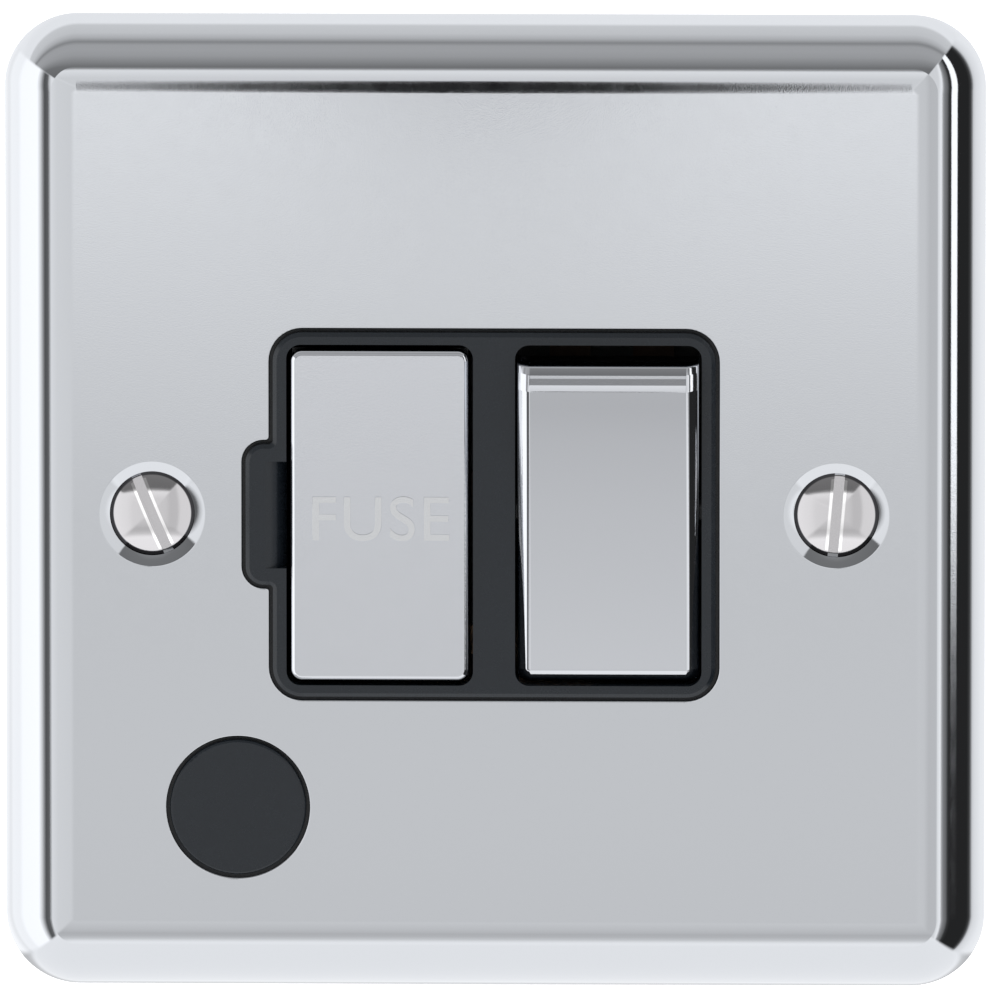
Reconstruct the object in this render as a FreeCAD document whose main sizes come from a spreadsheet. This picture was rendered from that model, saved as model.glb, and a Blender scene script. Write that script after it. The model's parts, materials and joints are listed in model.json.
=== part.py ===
import FreeCAD, Part
import math
import os
from types import SimpleNamespace

import Sketcher

# A switched fused connection unit for a square wall box.
# +X is right, +Z is up and the face looks along -Y.
# The origin is the middle of the wall plane, on the line through the two fixing screws.
# Lengths are millimetres and angles are degrees.
DRIVING_SIZES = {
    # Pressed metal plate
    "plate_rise": 0.6,
    "plate_corner": 6.0,
    "plate_depth": 5.2,
    "plate_sheet": 1.0,
    "rim_width": 4.2,
    "rim_radius": 9.55,
    "cushion_width": 1.6,
    "cushion_drop": 0.2,
    "fixing_pitch": 60.3,
    "dish_radius": 4.5,
    "dish_hole_radius": 2.0,
    # Raised countersunk fixing screws
    "screw_head_drop": 0.8,
    "screw_dome": 1.05,
    "screw_neck_radius": 1.55,
    "screw_neck_length": 1.25,
    "screw_thread_radius": 1.75,
    "screw_reach": 19.0,
    "screw_point": 0.6,
    "slot_width": 0.9,
    "slot_depth": 1.3,
    "left_slot_tilt": -23.0,
    "right_slot_tilt": 5.0,
    # Black insert and its flange behind the plate
    "insert_width": 39.0,
    "insert_corner": 2.6,
    "insert_proud": 0.5,
    "insert_edge": 0.35,
    "insert_side_border": 1.2,
    "insert_end_border": 1.05,
    "insert_divider": 3.7,
    "insert_fit": 0.3,
    "opening_corner": 1.25,
    "tab_reach": 2.4,
    "tab_height": 12.5,
    "tab_corner": 1.6,
    "notch_width": 1.9,
    "notch_height": 9.5,
    "notch_depth": 1.9,
    "notch_curve": 3.0,
    "flange_sheet": 1.8,
    # Base moulding
    "base_side_margin": 5.65,
    "base_corner": 3.0,
    "base_depth": 26.4,
    "bay_side": 1.0,
    "bay_wall": 1.85,
    "well_depth": 14.8,
    # Flexible cord outlet, its blank and its cord grip
    "outlet_side_margin": 20.65,
    "outlet_end_margin": 17.15,
    "outlet_radius": 6.3,
    "outlet_gap": 0.3,
    "blank_proud": 0.1,
    "blank_edge": 0.3,
    "blank_spigot_radius": 5.4,
    "blank_spigot_wall": 0.8,
    "blank_spigot_length": 3.4,
    "blank_fit": 0.05,
    "collar_wall": 1.8,
    "collar_length": 2.9,
    "lobe_radius": 8.2,
    "grip_side_margin": 7.0,
    "grip_end_gap": 0.2,
    "grip_pitch": 9.0,
    "grip_boss_radius": 2.2,
    "grip_boss_height": 3.9,
    "grip_bar_width": 6.4,
    "grip_bar_sheet": 3.0,
    "grip_bar_overhang": 0.2,
    "grip_arch": 1.2,
    "grip_screw_radius": 1.25,
    "grip_screw_head": 2.1,
    "grip_screw_head_height": 1.6,
    "grip_screw_depth": 3.0,
    # Fuse carrier
    "cap_side_gap": 0.38,
    "cap_end_gap": 0.48,
    "cap_proud": 0.5,
    "cap_depth": 1.6,
    "cap_wall": 0.6,
    "cap_corner": 0.9,
    "cap_edge": 0.45,
    "carrier_inset": 0.1,
    "carrier_front": 1.4,
    "carrier_wall": 1.2,
    "carrier_legs": 14.0,
    "carrier_cheek": 10.6,
    "carrier_lip": 1.3,
    "saddle_spread": 3.0,
    "saddle_wall": 1.4,
    "saddle_half_width": 4.6,
    "saddle_fit": 0.02,
    "saddle_grip": 1.4,
    "lug_height": 1.2,
    "lug_width": 4.0,
    "lug_length": 1.5,
    "lug_gap": 0.3,
    # Cartridge fuse and its clips
    "fuse_length": 25.4,
    "fuse_radius": 3.175,
    "fuse_cap_length": 5.8,
    "fuse_cap_wall": 0.25,
    "fuse_cap_end": 0.5,
    "fuse_gap": 0.2,
    "fuse_end_gap": 0.67,
    "clip_gap": 0.03,
    "clip_sheet": 0.5,
    "clip_width": 5.0,
    "clip_base": 0.8,
    "clip_lead": 2.9,
    "clip_flare": 0.6,
    # Current-carrying strips and the slots that hold them
    "strip_sheet": 1.0,
    "strip_width": 3.6,
    "strip_fit": 0.1,
    "pole_offset": 3.7,
    "link_width": 3.0,
    "load_link_inset": 2.95,
    "load_link_width": 2.6,
    "contact_start": 3.2,
    # Rocker
    "rocker_side_gap": 0.3,
    "rocker_end_gap": 0.85,
    "rocker_tilt": 6.5,
    "rocker_pivot": 5.1,
    "rocker_face": 6.2,
    "rocker_hollow": 0.5,
    "rocker_crest": 1.6,
    "rocker_skirt": 1.8,
    "rocker_cap_wall": 0.7,
    "rocker_cap_edge": 1.0,
    "dolly_half_height": 5.0,
    "dolly_back": 2.2,
    "trunnion_radius": 1.5,
    "trunnion_fit": 0.05,
    "bearing_depth": 1.4,
    "trunnion_end_gap": 0.15,
    # Sprung plungers in the rocker
    "guide_radius": 2.2,
    "guide_reach": 6.0,
    "plunger_radius": 1.25,
    "plunger_fit": 0.05,
    "plunger_reach": 9.0,
    "plunger_back": 2.6,
    "spring_seat": 2.0,
    "spring_radius": 0.9,
    "spring_wire": 0.2,
    "spring_pitch": 1.1,
    # Rocking contacts, their posts and the fixed contacts
    "contact_play": 0.07,
    "contact_sheet": 0.8,
    "contact_lift": 0.35,
    "contact_arm": 7.5,
    "contact_swing": 10.0,
    "post_radius": 0.6,
    "post_fit": 0.05,
    "post_width": 3.2,
    "button_radius": 1.3,
    "button_face": 0.45,
    "button_place": 5.48,
    "button_gap": 0.03,
    # Terminals
    "terminal_width": 6.2,
    "terminal_depth": 8.0,
    "terminal_height": 8.0,
    "terminal_inset": 5.35,
    "terminal_end_wall": 2.5,
    "terminal_bore": 2.25,
    "terminal_bore_depth": 3.0,
    "chamber_fit": 0.3,
    "chamber_end": 1.0,
    "entry_radius": 2.6,
    "terminal_screw_radius": 1.5,
    "terminal_screw_fit": 0.05,
    "terminal_screw_tip": 0.15,
    "terminal_screw_head": 2.4,
    "terminal_screw_head_height": 1.8,
    "terminal_screw_stand": 0.2,
    # Earth terminal, strap and stud
    "earth_x": 13.0,
    "earth_width": 13.0,
    "earth_bore_pitch": 6.4,
    "strap_width": 5.0,
    "strap_sheet": 0.8,
    "strap_gap": 0.1,
    "earth_stud_stand": 3.6,
    "earth_stud_edge": 1.15,
    "earth_stud_radius": 1.75,
    "earth_stud_length": 5.2,
    "earth_stud_foot": 2.3,
    "earth_stud_foot_height": 1.0,
    "earth_nut_radius": 2.9,
    "earth_nut_height": 2.0,
    # Pillars on the plate and the screws that pull the base against it
    "pillar_side_inset": 3.2,
    "pillar_end_inset": 5.8,
    "pillar_middle_inset": 14.4,
    "pillar_radius": 1.9,
    "pillar_length": 7.2,
    "pillar_fit": 0.1,
    "housing_screw_radius": 1.25,
    "housing_screw_fit": 0.15,
    "housing_screw_head": 2.2,
    "housing_screw_head_height": 1.6,
    "housing_screw_sink": 4.0,
    "housing_screw_bite": 4.5,
    "recess_fit": 0.2,
}


class Size:
    """A length or angle that carries both its number and the sheet expression behind it."""

    def __init__(self, number, text):
        self.number = number
        self.text = text

    def joined(self, sign, number, other):
        return Size(number, f"({self.text} {sign} {other.text})")

    def __add__(self, other):
        other = plain(other)
        return self.joined("+", self.number + other.number, other)

    def __sub__(self, other):
        other = plain(other)
        return self.joined("-", self.number - other.number, other)

    def __mul__(self, other):
        other = plain(other)
        return self.joined("*", self.number * other.number, other)

    def __truediv__(self, other):
        other = plain(other)
        return self.joined("/", self.number / other.number, other)

    def __neg__(self):
        return Size(-self.number, f"(0 - {self.text})")

    def sine(self):
        return Size(math.sin(math.radians(self.number)), f"sin({self.text})")

    def cosine(self):
        return Size(math.cos(math.radians(self.number)), f"cos({self.text})")


def plain(value):
    """A bare number as a Size, so that it can stand beside one."""
    return value if isinstance(value, Size) else Size(float(value), f"{float(value):.6f}")


doc = FreeCAD.newDocument("FusedSpurUnit")
sheet = doc.addObject("Spreadsheet::Sheet", "Sizes")
for row, (alias, number) in enumerate(DRIVING_SIZES.items(), start=1):
    sheet.set(f"A{row}", alias.replace("_", " "))
    sheet.set(f"B{row}", str(number))
    sheet.setAlias(f"B{row}", alias)
doc.recompute()

d = SimpleNamespace(**{alias: Size(number, f"Sizes.{alias}") for alias, number in DRIVING_SIZES.items()})
zero = plain(0)
nodes = []

# The fuse sets the carrier round it, the carrier sets the openings, and those set the insert,
# the terminals, the base and the plate that covers it.
carrier_inner = d.fuse_length / 2 + d.fuse_end_gap
carrier_half_height = carrier_inner + d.carrier_wall
cap_half_height = carrier_half_height + d.carrier_inset
opening_half_height = cap_half_height + d.cap_end_gap
insert_half_height = opening_half_height + d.insert_end_border
terminal_inner = opening_half_height + d.terminal_inset
terminal_outer = terminal_inner + d.terminal_height
base_half_height = terminal_outer + d.terminal_end_wall
earth_stud_z = base_half_height + d.earth_stud_stand
flat_top = earth_stud_z + d.earth_stud_foot + d.earth_stud_edge
plate_half = flat_top + d.cushion_width + d.rim_width - d.plate_rise

# Places that several pieces share
plate_front = -d.plate_depth
plate_back = plate_front + d.plate_sheet
insert_front = plate_front - d.insert_proud
base_front = plate_back + d.flange_sheet
base_back = base_front + d.base_depth
floor_y = base_front + d.well_depth
strip_front = floor_y - d.strip_sheet
strip_slot_front = strip_front - d.strip_fit
fixing_x = d.fixing_pitch / 2
base_half_width = fixing_x - d.base_side_margin
opening_width = (d.insert_width - d.insert_side_border * 2 - d.insert_divider) / 2
rocker_x = d.insert_divider / 2 + opening_width / 2
fuse_x = -rocker_x
line_x = rocker_x - d.pole_offset
neutral_x = rocker_x + d.pole_offset
pivot_y = insert_front + d.rocker_pivot
cap_front = insert_front - d.cap_proud
cap_back = cap_front + d.cap_depth
carrier_face_back = cap_back + d.carrier_front
cap_half_width = opening_width / 2 - d.cap_side_gap
carrier_half_width = cap_half_width - d.carrier_inset
fuse_y = carrier_face_back + d.fuse_gap + d.fuse_radius
contact_y = pivot_y + d.plunger_reach + d.contact_play + d.contact_lift + d.contact_sheet
terminal_front = floor_y
terminal_bore_y = terminal_front + d.terminal_bore_depth
terminal_back = terminal_front + d.terminal_depth
chamber_inner = terminal_inner - d.chamber_end
load_link_top = opening_half_height - d.load_link_inset
chamber_outer = terminal_outer + d.chamber_end
outlet_x = d.outlet_side_margin - plate_half
outlet_z = d.outlet_end_margin - plate_half
bay_top = opening_half_height + d.bay_wall
grip_x = -(d.bay_side + d.grip_side_margin)
grip_half_length = d.grip_pitch / 2 + d.grip_boss_radius + d.grip_bar_overhang
grip_z = -(bay_top + d.grip_end_gap + grip_half_length)
grip_top_z = grip_z + d.grip_pitch / 2
grip_low_z = grip_z - d.grip_pitch / 2
earth_x = -d.earth_x
pillar_x = base_half_width - d.pillar_side_inset
pillar_z = base_half_height - d.pillar_end_inset
pillar_places = [
    (pillar_x, pillar_z),
    (pillar_x, -pillar_z),
    (-pillar_x, base_half_height - d.pillar_middle_inset),
]
TINY = 1e-4


def bind(thing, path, size):
    """Tie one property of a document object to the sheet."""
    thing.setExpression(path, plain(size).text)


def new_body(label):
    body = doc.addObject("PartDesign::Body", label)
    body.Label = label
    return body


def keep(thing):
    """Note a finished sub-part, whose Label names its file."""
    nodes.append(thing)
    return thing


def circle(across, up, radius):
    return {"centre": (plain(across), plain(up)), "radius": plain(radius)}


def outline(points, arcs=None):
    """A closed loop of lines; arcs gives some of its sides a radius, positive where it turns left."""
    return {"points": [(plain(a), plain(b)) for a, b in points], "arcs": arcs or {}}


def rounded(points, radii):
    """A loop whose sides run along the sketch axes, with each corner given its own radius."""
    corners, arcs = [], {}
    for i, (here, radius) in enumerate(zip(points, radii)):
        before, after = points[i - 1], points[(i + 1) % len(points)]
        enter = unit_step(here, before)
        leave = unit_step(here, after)
        turn = -enter[0] * leave[1] + enter[1] * leave[0]
        arcs[len(corners)] = radius if turn > 0 else -radius
        corners.append((here[0] + radius * enter[0], here[1] + radius * enter[1]))
        corners.append((here[0] + radius * leave[0], here[1] + radius * leave[1]))
    return outline(corners, arcs)


def unit_step(start, end):
    """The direction from one corner to the next, as -1, 0 or 1 along each axis."""
    steps = [end[k].number - start[k].number for k in (0, 1)]
    return [0 if abs(step) < TINY else math.copysign(1, step) for step in steps]


def rectangle(left, right, low, high, radius=None):
    left, right, low, high = (plain(side) for side in (left, right, low, high))
    points = [(left, low), (right, low), (right, high), (left, high)]
    if radius is None:
        return outline(points)
    return rounded(points, [plain(radius)] * 4)


def arc_geometry(start, end, radius):
    """The circular arc between two points, as drawn geometry and the order of its two ends."""
    reach = abs(radius)
    middle = [(start[k] + end[k]) / 2 for k in (0, 1)]
    across = [end[k] - start[k] for k in (0, 1)]
    chord = math.hypot(*across)
    rise = math.sqrt(max(reach * reach - chord * chord / 4, 0)) * math.copysign(1, radius)
    centre = (middle[0] - across[1] / chord * rise, middle[1] + across[0] / chord * rise)
    first, last = (start, end) if radius > 0 else (end, start)
    angles = [math.atan2(p[1] - centre[1], p[0] - centre[0]) for p in (first, last)]
    ring = Part.Circle(FreeCAD.Vector(*centre, 0), FreeCAD.Vector(0, 0, 1), reach)
    ends = (1, 2) if radius > 0 else (2, 1)
    return Part.ArcOfCircle(ring, *angles), ends


def draw_loop(sketch, loop):
    """Draw one closed loop and tie every point and radius of it to the sheet."""
    first = sketch.GeometryCount
    rules, names = [], []

    def rule(size, *parts):
        names.append(size)
        rules.append(Sketcher.Constraint(*parts, size.number))

    if "centre" in loop:
        across, up = loop["centre"]
        centre = FreeCAD.Vector(across.number, up.number, 0)
        sketch.addGeometry(Part.Circle(centre, FreeCAD.Vector(0, 0, 1), loop["radius"].number), False)
        rule(across, "DistanceX", -1, 1, first, 3)
        rule(up, "DistanceY", -1, 1, first, 3)
        rule(loop["radius"], "Radius", first)
    else:
        points = loop["points"]
        shapes, ends = [], []
        for i, (start, end) in enumerate(zip(points, points[1:] + points[:1])):
            here = [size.number for size in start]
            there = [size.number for size in end]
            if i in loop["arcs"]:
                shape, order = arc_geometry(here, there, loop["arcs"][i].number)
            else:
                shape, order = Part.LineSegment(FreeCAD.Vector(*here, 0), FreeCAD.Vector(*there, 0)), (1, 2)
            shapes.append(shape)
            ends.append(order)
        sketch.addGeometry(shapes, False)
        for i, (across, up) in enumerate(points):
            before = (i - 1) % len(points)
            joined = (first + before, ends[before][1], first + i, ends[i][0])
            joint = Sketcher.Constraint("Coincident", *joined)
            sketch.addConstraint(joint)
            rule(across, "DistanceX", -1, 1, first + i, ends[i][0])
            rule(up, "DistanceY", -1, 1, first + i, ends[i][0])
            if i in loop["arcs"]:
                radius = loop["arcs"][i]
                rule(radius if radius.number > 0 else -radius, "Radius", first + i)
    start = sketch.ConstraintCount
    sketch.addConstraint(rules)
    for i, size in enumerate(names):
        bind(sketch, f"Constraints[{start + i}]", size)


def sketch_on(body, plane, shift, loops):
    """A sketch on one of the body's own planes, moved along that plane's normal."""
    sketch = body.newObject("Sketcher::SketchObject", f"{body.Label}_sketch")
    support = next(face for face in body.Origin.OriginFeatures if face.Role == plane)
    sketch.AttachmentSupport = (support, "")
    sketch.MapMode = "FlatFace"
    bind(sketch, "AttachmentOffset.Base.z", shift)
    for loop in loops:
        draw_loop(sketch, loop)
    return sketch


def extruded(body, kind, plane, low, high, loops):
    """Material added or taken away between two depths, with the loops drawn across them."""
    low, high = plain(low), plain(high)
    adds = kind == "Pad"
    if plane == "XZ_Plane":
        shift = -high if adds else -low
    else:
        shift = low if adds else high
    sketch = sketch_on(body, plane, shift, loops)
    feature = body.newObject(f"PartDesign::{kind}", f"{body.Label}_{kind.lower()}")
    feature.Profile = sketch
    bind(feature, "Length", high - low)
    return feature


def grow(body, plane, low, high, *loops):
    return extruded(body, "Pad", plane, low, high, loops)


def hollow(body, plane, low, high, *loops):
    return extruded(body, "Pocket", plane, low, high, loops)


FRONT, SIDE, TOP = "XZ_Plane", "YZ_Plane", "XY_Plane"


def turned(body, kind, loop, across=zero):
    """A loop of (depth, radius) points turned about the line along Y at the given X."""
    sketch = sketch_on(body, SIDE, across, [loop])
    feature = body.newObject(f"PartDesign::{kind}", f"{body.Label}_{kind.lower()}")
    feature.Profile = sketch
    feature.ReferenceAxis = (sketch, ["H_Axis"])
    feature.Angle = 360.0
    return feature


def soften(body, radius, wanted):
    """Round the edges of the body's last feature that the test picks out."""
    return dress_edges(body, "Fillet", "Radius", radius, wanted)


def bevel(body, width, wanted):
    """Cut a narrow slope along the edges of the body's last feature that the test picks out."""
    return dress_edges(body, "Chamfer", "Size", width, wanted)


def dress_edges(body, kind, path, size, wanted):
    """Add a fillet or chamfer of one size to the chosen edges of the body's last feature."""
    doc.recompute()
    tip = body.Tip
    picked = [f"Edge{i}" for i, edge in enumerate(tip.Shape.Edges, start=1) if wanted(edge)]
    feature = body.newObject(f"PartDesign::{kind}", f"{body.Label}_{kind.lower()}")
    feature.Base = (tip, picked)
    bind(feature, path, size)
    return feature


def lies_at(edge, axis, place):
    """Whether an edge lies wholly in the plane at one place along an axis."""
    box = edge.BoundBox
    low, high = (getattr(box, f"{axis}{end}") for end in ("Min", "Max"))
    return abs(low - place.number) < TINY and abs(high - place.number) < TINY


def place(thing, across=zero, depth=zero, up=zero, axis=None, angle=None):
    """Put a sub-part in its place, turned about its own origin if it needs to be."""
    if axis is not None:
        thing.Placement = FreeCAD.Placement(FreeCAD.Vector(0, 0, 0), FreeCAD.Rotation(axis, angle.number))
        bind(thing, "Placement.Rotation.Angle", angle)
    for path, size in zip("xyz", (across, depth, up)):
        bind(thing, f"Placement.Base.{path}", size)
    return thing


def group(label, things):
    """Like pieces that share one node, each its own solid."""
    gathered = doc.addObject("Part::Compound", label)
    gathered.Label = label
    gathered.Links = things
    return keep(gathered)


ABOUT_X = FreeCAD.Vector(1, 0, 0)
ABOUT_Y = FreeCAD.Vector(0, 1, 0)


def insert_outline(fit):
    """The front of the insert with its lever tab on the left, grown all round by a fit."""
    right = d.insert_width / 2 + fit
    top = insert_half_height + fit
    tab_left = -right - d.tab_reach
    tab_top = d.tab_height / 2 + fit
    corner = d.insert_corner + fit
    tab_corner = d.tab_corner + fit
    crook = d.insert_edge
    points = [
        (-right, -top), (right, -top), (right, top), (-right, top),
        (-right, tab_top), (tab_left, tab_top), (tab_left, -tab_top), (-right, -tab_top),
    ]
    return rounded(points, [corner] * 4 + [crook, tab_corner, tab_corner, crook])


def well_outline(across):
    """One of the two front openings, for the fuse carrier or the rocker."""
    return rectangle(
        across - opening_width / 2, across + opening_width / 2,
        -opening_half_height, opening_half_height, d.opening_corner,
    )


def make_front_plate():
    """Pressed plate: a curved rim swept round a rounded square, a flat face, openings and dishes."""
    body = new_body("front_plate")
    inner = plate_half - d.plate_corner
    top, low = d.plate_rise + plate_half, d.plate_rise - plate_half
    straight_top, straight_low = d.plate_rise + inner, d.plate_rise - inner
    spine_points = [
        (zero, top), (-inner, top), (-plate_half, straight_top), (-plate_half, straight_low),
        (-inner, low), (inner, low), (plate_half, straight_low), (plate_half, straight_top),
        (inner, top),
    ]
    corners = {side: d.plate_corner for side in (1, 3, 5, 7)}
    spine = sketch_on(body, FRONT, zero, [outline(spine_points, corners)])
    crease = plate_front + d.cushion_drop
    crease_up = top - d.rim_width
    section = outline(
        [
            (zero, top), (crease, crease_up), (plate_front, flat_top), (plate_back, flat_top),
            (crease + d.plate_sheet, crease_up - d.cushion_drop), (zero, top - d.plate_sheet),
        ],
        {0: d.rim_radius, 4: -(d.rim_radius - d.plate_sheet)},
    )
    rim = body.newObject("PartDesign::AdditivePipe", "front_plate_rim")
    rim.Profile = sketch_on(body, SIDE, zero, [section])
    rim.Spine = (spine, [])
    flat_corner = d.plate_corner - d.rim_width - d.cushion_width
    flat_half = plate_half - d.rim_width - d.cushion_width
    flat_low = d.plate_rise - flat_half
    grow(
        body, FRONT, plate_front, plate_back,
        rectangle(-flat_half, flat_half, flat_low, flat_top, flat_corner),
    )
    hollow(body, FRONT, plate_front, plate_back, insert_outline(d.insert_fit))
    hollow(body, FRONT, plate_front, plate_back, circle(outlet_x, outlet_z, d.outlet_radius))
    dish_depth = d.dish_radius - d.dish_hole_radius
    dish_back = plate_front + dish_depth
    slant = d.plate_sheet * math.sqrt(2)
    back_radius = d.dish_hole_radius + slant
    dish = outline([
        (plate_back, zero), (plate_back, back_radius + dish_back - plate_back),
        (dish_back, back_radius), (dish_back, zero),
    ])
    cone = outline([
        (plate_front, zero), (plate_front, d.dish_radius),
        (dish_back, d.dish_hole_radius), (dish_back, zero),
    ])
    dish_feature = turned(body, "Revolution", dish, fixing_x)
    cone_feature = turned(body, "Groove", cone, fixing_x)
    mirror = body.newObject("PartDesign::Mirrored", "front_plate_mirror")
    mirror.Originals = [dish_feature, cone_feature]
    mirror.MirrorPlane = (next(f for f in body.Origin.OriginFeatures if f.Role == SIDE), [""])
    body.Tip = mirror
    return keep(body)


def make_fixing_screw(label, across, tilt):
    """Raised countersunk screw whose head sits in the dished hole of the plate."""
    body = new_body(label)
    rim_y = plate_front + d.screw_head_drop
    rim_radius = d.dish_radius - d.screw_head_drop
    neck_y = plate_front + d.dish_radius - d.screw_neck_radius
    thread_y = neck_y + d.screw_neck_length
    tip_y = d.screw_reach
    dome_radius = (rim_radius * rim_radius + d.screw_dome * d.screw_dome) / (d.screw_dome * 2)
    profile = outline(
        [
            (rim_y - d.screw_dome, zero), (rim_y, rim_radius), (neck_y, d.screw_neck_radius),
            (thread_y, d.screw_neck_radius), (thread_y, d.screw_thread_radius),
            (tip_y - d.screw_point, d.screw_thread_radius),
            (tip_y, d.screw_thread_radius - d.screw_point), (tip_y, zero),
        ],
        {0: -dome_radius},
    )
    turned(body, "Revolution", profile)
    slot = rectangle(-d.slot_width / 2, d.slot_width / 2, -rim_radius, rim_radius)
    hollow(body, FRONT, rim_y - d.screw_dome, rim_y - d.screw_dome + d.slot_depth, slot)
    return keep(place(body, across, axis=ABOUT_Y, angle=tilt))


def make_insert():
    """Black moulding: bezel and lever tab through the plate, flange, cord collar and grip bosses."""
    body = new_body("insert_moulding")
    grow(body, FRONT, insert_front, plate_back, insert_outline(zero))
    bevel(body, d.insert_edge, lambda edge: lies_at(edge, "Y", insert_front))
    grow(
        body, FRONT, plate_back, base_front,
        rectangle(-base_half_width, base_half_width, -base_half_height, base_half_height, d.base_corner),
    )
    grow(body, FRONT, plate_back, base_front, circle(outlet_x, outlet_z, d.lobe_radius))
    collar_bore = d.blank_spigot_radius + d.blank_fit
    collar_back = base_front + d.collar_length
    grow(body, FRONT, base_front, collar_back, circle(outlet_x, outlet_z, collar_bore + d.collar_wall))
    boss_back = base_front + d.grip_boss_height
    for boss_z in (grip_top_z, grip_low_z):
        grow(body, FRONT, base_front, boss_back, circle(grip_x, boss_z, d.grip_boss_radius))
        hollow(
            body, FRONT, boss_back - d.grip_screw_depth, boss_back,
            circle(grip_x, boss_z, d.grip_screw_radius),
        )
    for across in (fuse_x, rocker_x):
        hollow(body, FRONT, insert_front, base_front, well_outline(across))
    hollow(body, FRONT, plate_back, collar_back, circle(outlet_x, outlet_z, collar_bore))
    notch_right = fuse_x - opening_width / 2
    notch_left = notch_right - d.notch_width
    ramp = outline(
        [
            (notch_left, insert_front), (notch_right + d.notch_width, insert_front),
            (notch_right + d.notch_width, insert_front + d.notch_depth),
            (notch_right, insert_front + d.notch_depth),
        ],
        {3: -d.notch_curve},
    )
    hollow(body, TOP, -d.notch_height / 2, d.notch_height / 2, ramp)
    for across, up in pillar_places:
        hollow(body, FRONT, plate_back, base_front, circle(across, up, d.pillar_radius + d.pillar_fit))
    return keep(body)


def make_base():
    """Deep moulding behind the flange, with wells, strip slots, terminal chambers and cord bay."""
    body = new_body("base_moulding")
    half, up = base_half_width, base_half_height
    round_corner = d.base_corner
    shell = rounded(
        [
            (-half, up), (-half, -bay_top), (-d.bay_side, -bay_top),
            (-d.bay_side, -up), (half, -up), (half, up),
        ],
        [round_corner] * 6,
    )
    grow(body, FRONT, base_front, base_back, shell)
    for across in (fuse_x, rocker_x):
        hollow(body, FRONT, base_front, floor_y, well_outline(across))
    groove_half = d.lug_width / 2 + d.lug_gap
    groove_up = carrier_half_height + d.lug_height + d.lug_gap
    hollow(
        body, FRONT, base_front, floor_y,
        rectangle(fuse_x - groove_half, fuse_x + groove_half, -groove_up, groove_up),
    )
    bearing = d.trunnion_radius + d.trunnion_fit
    bearing_loop = outline(
        [
            (base_front, -bearing), (pivot_y, -bearing), (pivot_y + bearing, zero),
            (pivot_y, bearing), (base_front, bearing),
        ],
        {1: bearing, 2: bearing},
    )
    bearing_half = opening_width / 2 + d.bearing_depth
    hollow(body, SIDE, rocker_x - bearing_half, rocker_x + bearing_half, bearing_loop)
    divider = (
        fuse_x + opening_width / 2 - d.opening_corner,
        rocker_x - opening_width / 2 + d.opening_corner,
    )
    link_slot = d.link_width / 2 + d.strip_fit
    hollow(body, FRONT, strip_slot_front, floor_y, rectangle(*divider, -link_slot, link_slot))
    load_top = -load_link_top + d.strip_fit
    load_low = -load_link_top - d.load_link_width - d.strip_fit
    hollow(body, FRONT, strip_slot_front, floor_y, rectangle(*divider, load_low, load_top))
    slot_half = d.strip_width / 2 + d.strip_fit
    chamber_half = d.terminal_width / 2 + d.chamber_fit
    for across in (line_x, neutral_x):
        for inner, outer in ((opening_half_height, chamber_inner), (-chamber_inner, -opening_half_height)):
            hollow(
                body, FRONT, strip_slot_front, floor_y,
                rectangle(across - slot_half, across + slot_half, inner, outer),
            )
        for low, high in ((chamber_inner, chamber_outer), (-chamber_outer, -chamber_inner)):
            room = rectangle(across - chamber_half, across + chamber_half, low, high)
            hollow(body, FRONT, strip_slot_front, base_back, room)
        hollow(body, TOP, chamber_outer, up, circle(across, terminal_bore_y, d.entry_radius))
        hollow(body, TOP, -up, -chamber_outer, circle(across, terminal_bore_y, d.entry_radius))
    earth_half = d.earth_width / 2 + d.chamber_fit
    earth_room = rectangle(earth_x - earth_half, earth_x + earth_half, chamber_inner, chamber_outer)
    hollow(body, FRONT, strip_slot_front, base_back, earth_room)
    for side in (-1, 1):
        entry_x = earth_x + d.earth_bore_pitch / 2 * side
        hollow(body, TOP, chamber_outer, up, circle(entry_x, terminal_bore_y, d.entry_radius))
    strap_half = d.strap_width / 2 + d.strip_fit
    strap_slot = rectangle(earth_x - strap_half, earth_x + strap_half, strip_slot_front, floor_y)
    hollow(body, TOP, chamber_outer, up, strap_slot)
    socket_back = plate_back + d.pillar_length + d.pillar_fit
    head_y = base_back - d.housing_screw_sink
    for across, height in pillar_places:
        hollow(
            body, FRONT, base_front, socket_back,
            circle(across, height, d.pillar_radius + d.pillar_fit),
        )
        hollow(
            body, FRONT, socket_back, head_y,
            circle(across, height, d.housing_screw_radius + d.housing_screw_fit),
        )
        hollow(
            body, FRONT, head_y, base_back,
            circle(across, height, d.housing_screw_head + d.recess_fit),
        )
    return keep(body)


def make_pillars():
    """Threaded pillars fixed to the back of the plate, which pass through the flange into the base."""
    pillars = []
    end_y = plate_back + d.pillar_length
    for number, (across, up) in enumerate(pillar_places, start=1):
        body = new_body(f"pillar_{number}")
        grow(body, FRONT, plate_back, end_y, circle(zero, zero, d.pillar_radius))
        hollow(
            body, FRONT, end_y - d.housing_screw_bite, end_y,
            circle(zero, zero, d.housing_screw_radius),
        )
        pillars.append(place(body, across, zero, up))
    group("plate_pillars", pillars)


def cheese_screw(label, head_y, head_radius, head_height, thread_radius, tip_y):
    """A slotted cheese-head screw driven from behind, along -Y."""
    body = new_body(label)
    grow(body, FRONT, head_y, head_y + head_height, circle(zero, zero, head_radius))
    grow(body, FRONT, tip_y, head_y, circle(zero, zero, thread_radius))
    slot_half = d.slot_width / 2
    slot_y = head_y + head_height / 2
    hollow(
        body, FRONT, slot_y, head_y + head_height,
        rectangle(-head_radius, head_radius, -slot_half, slot_half),
    )
    return body


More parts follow.
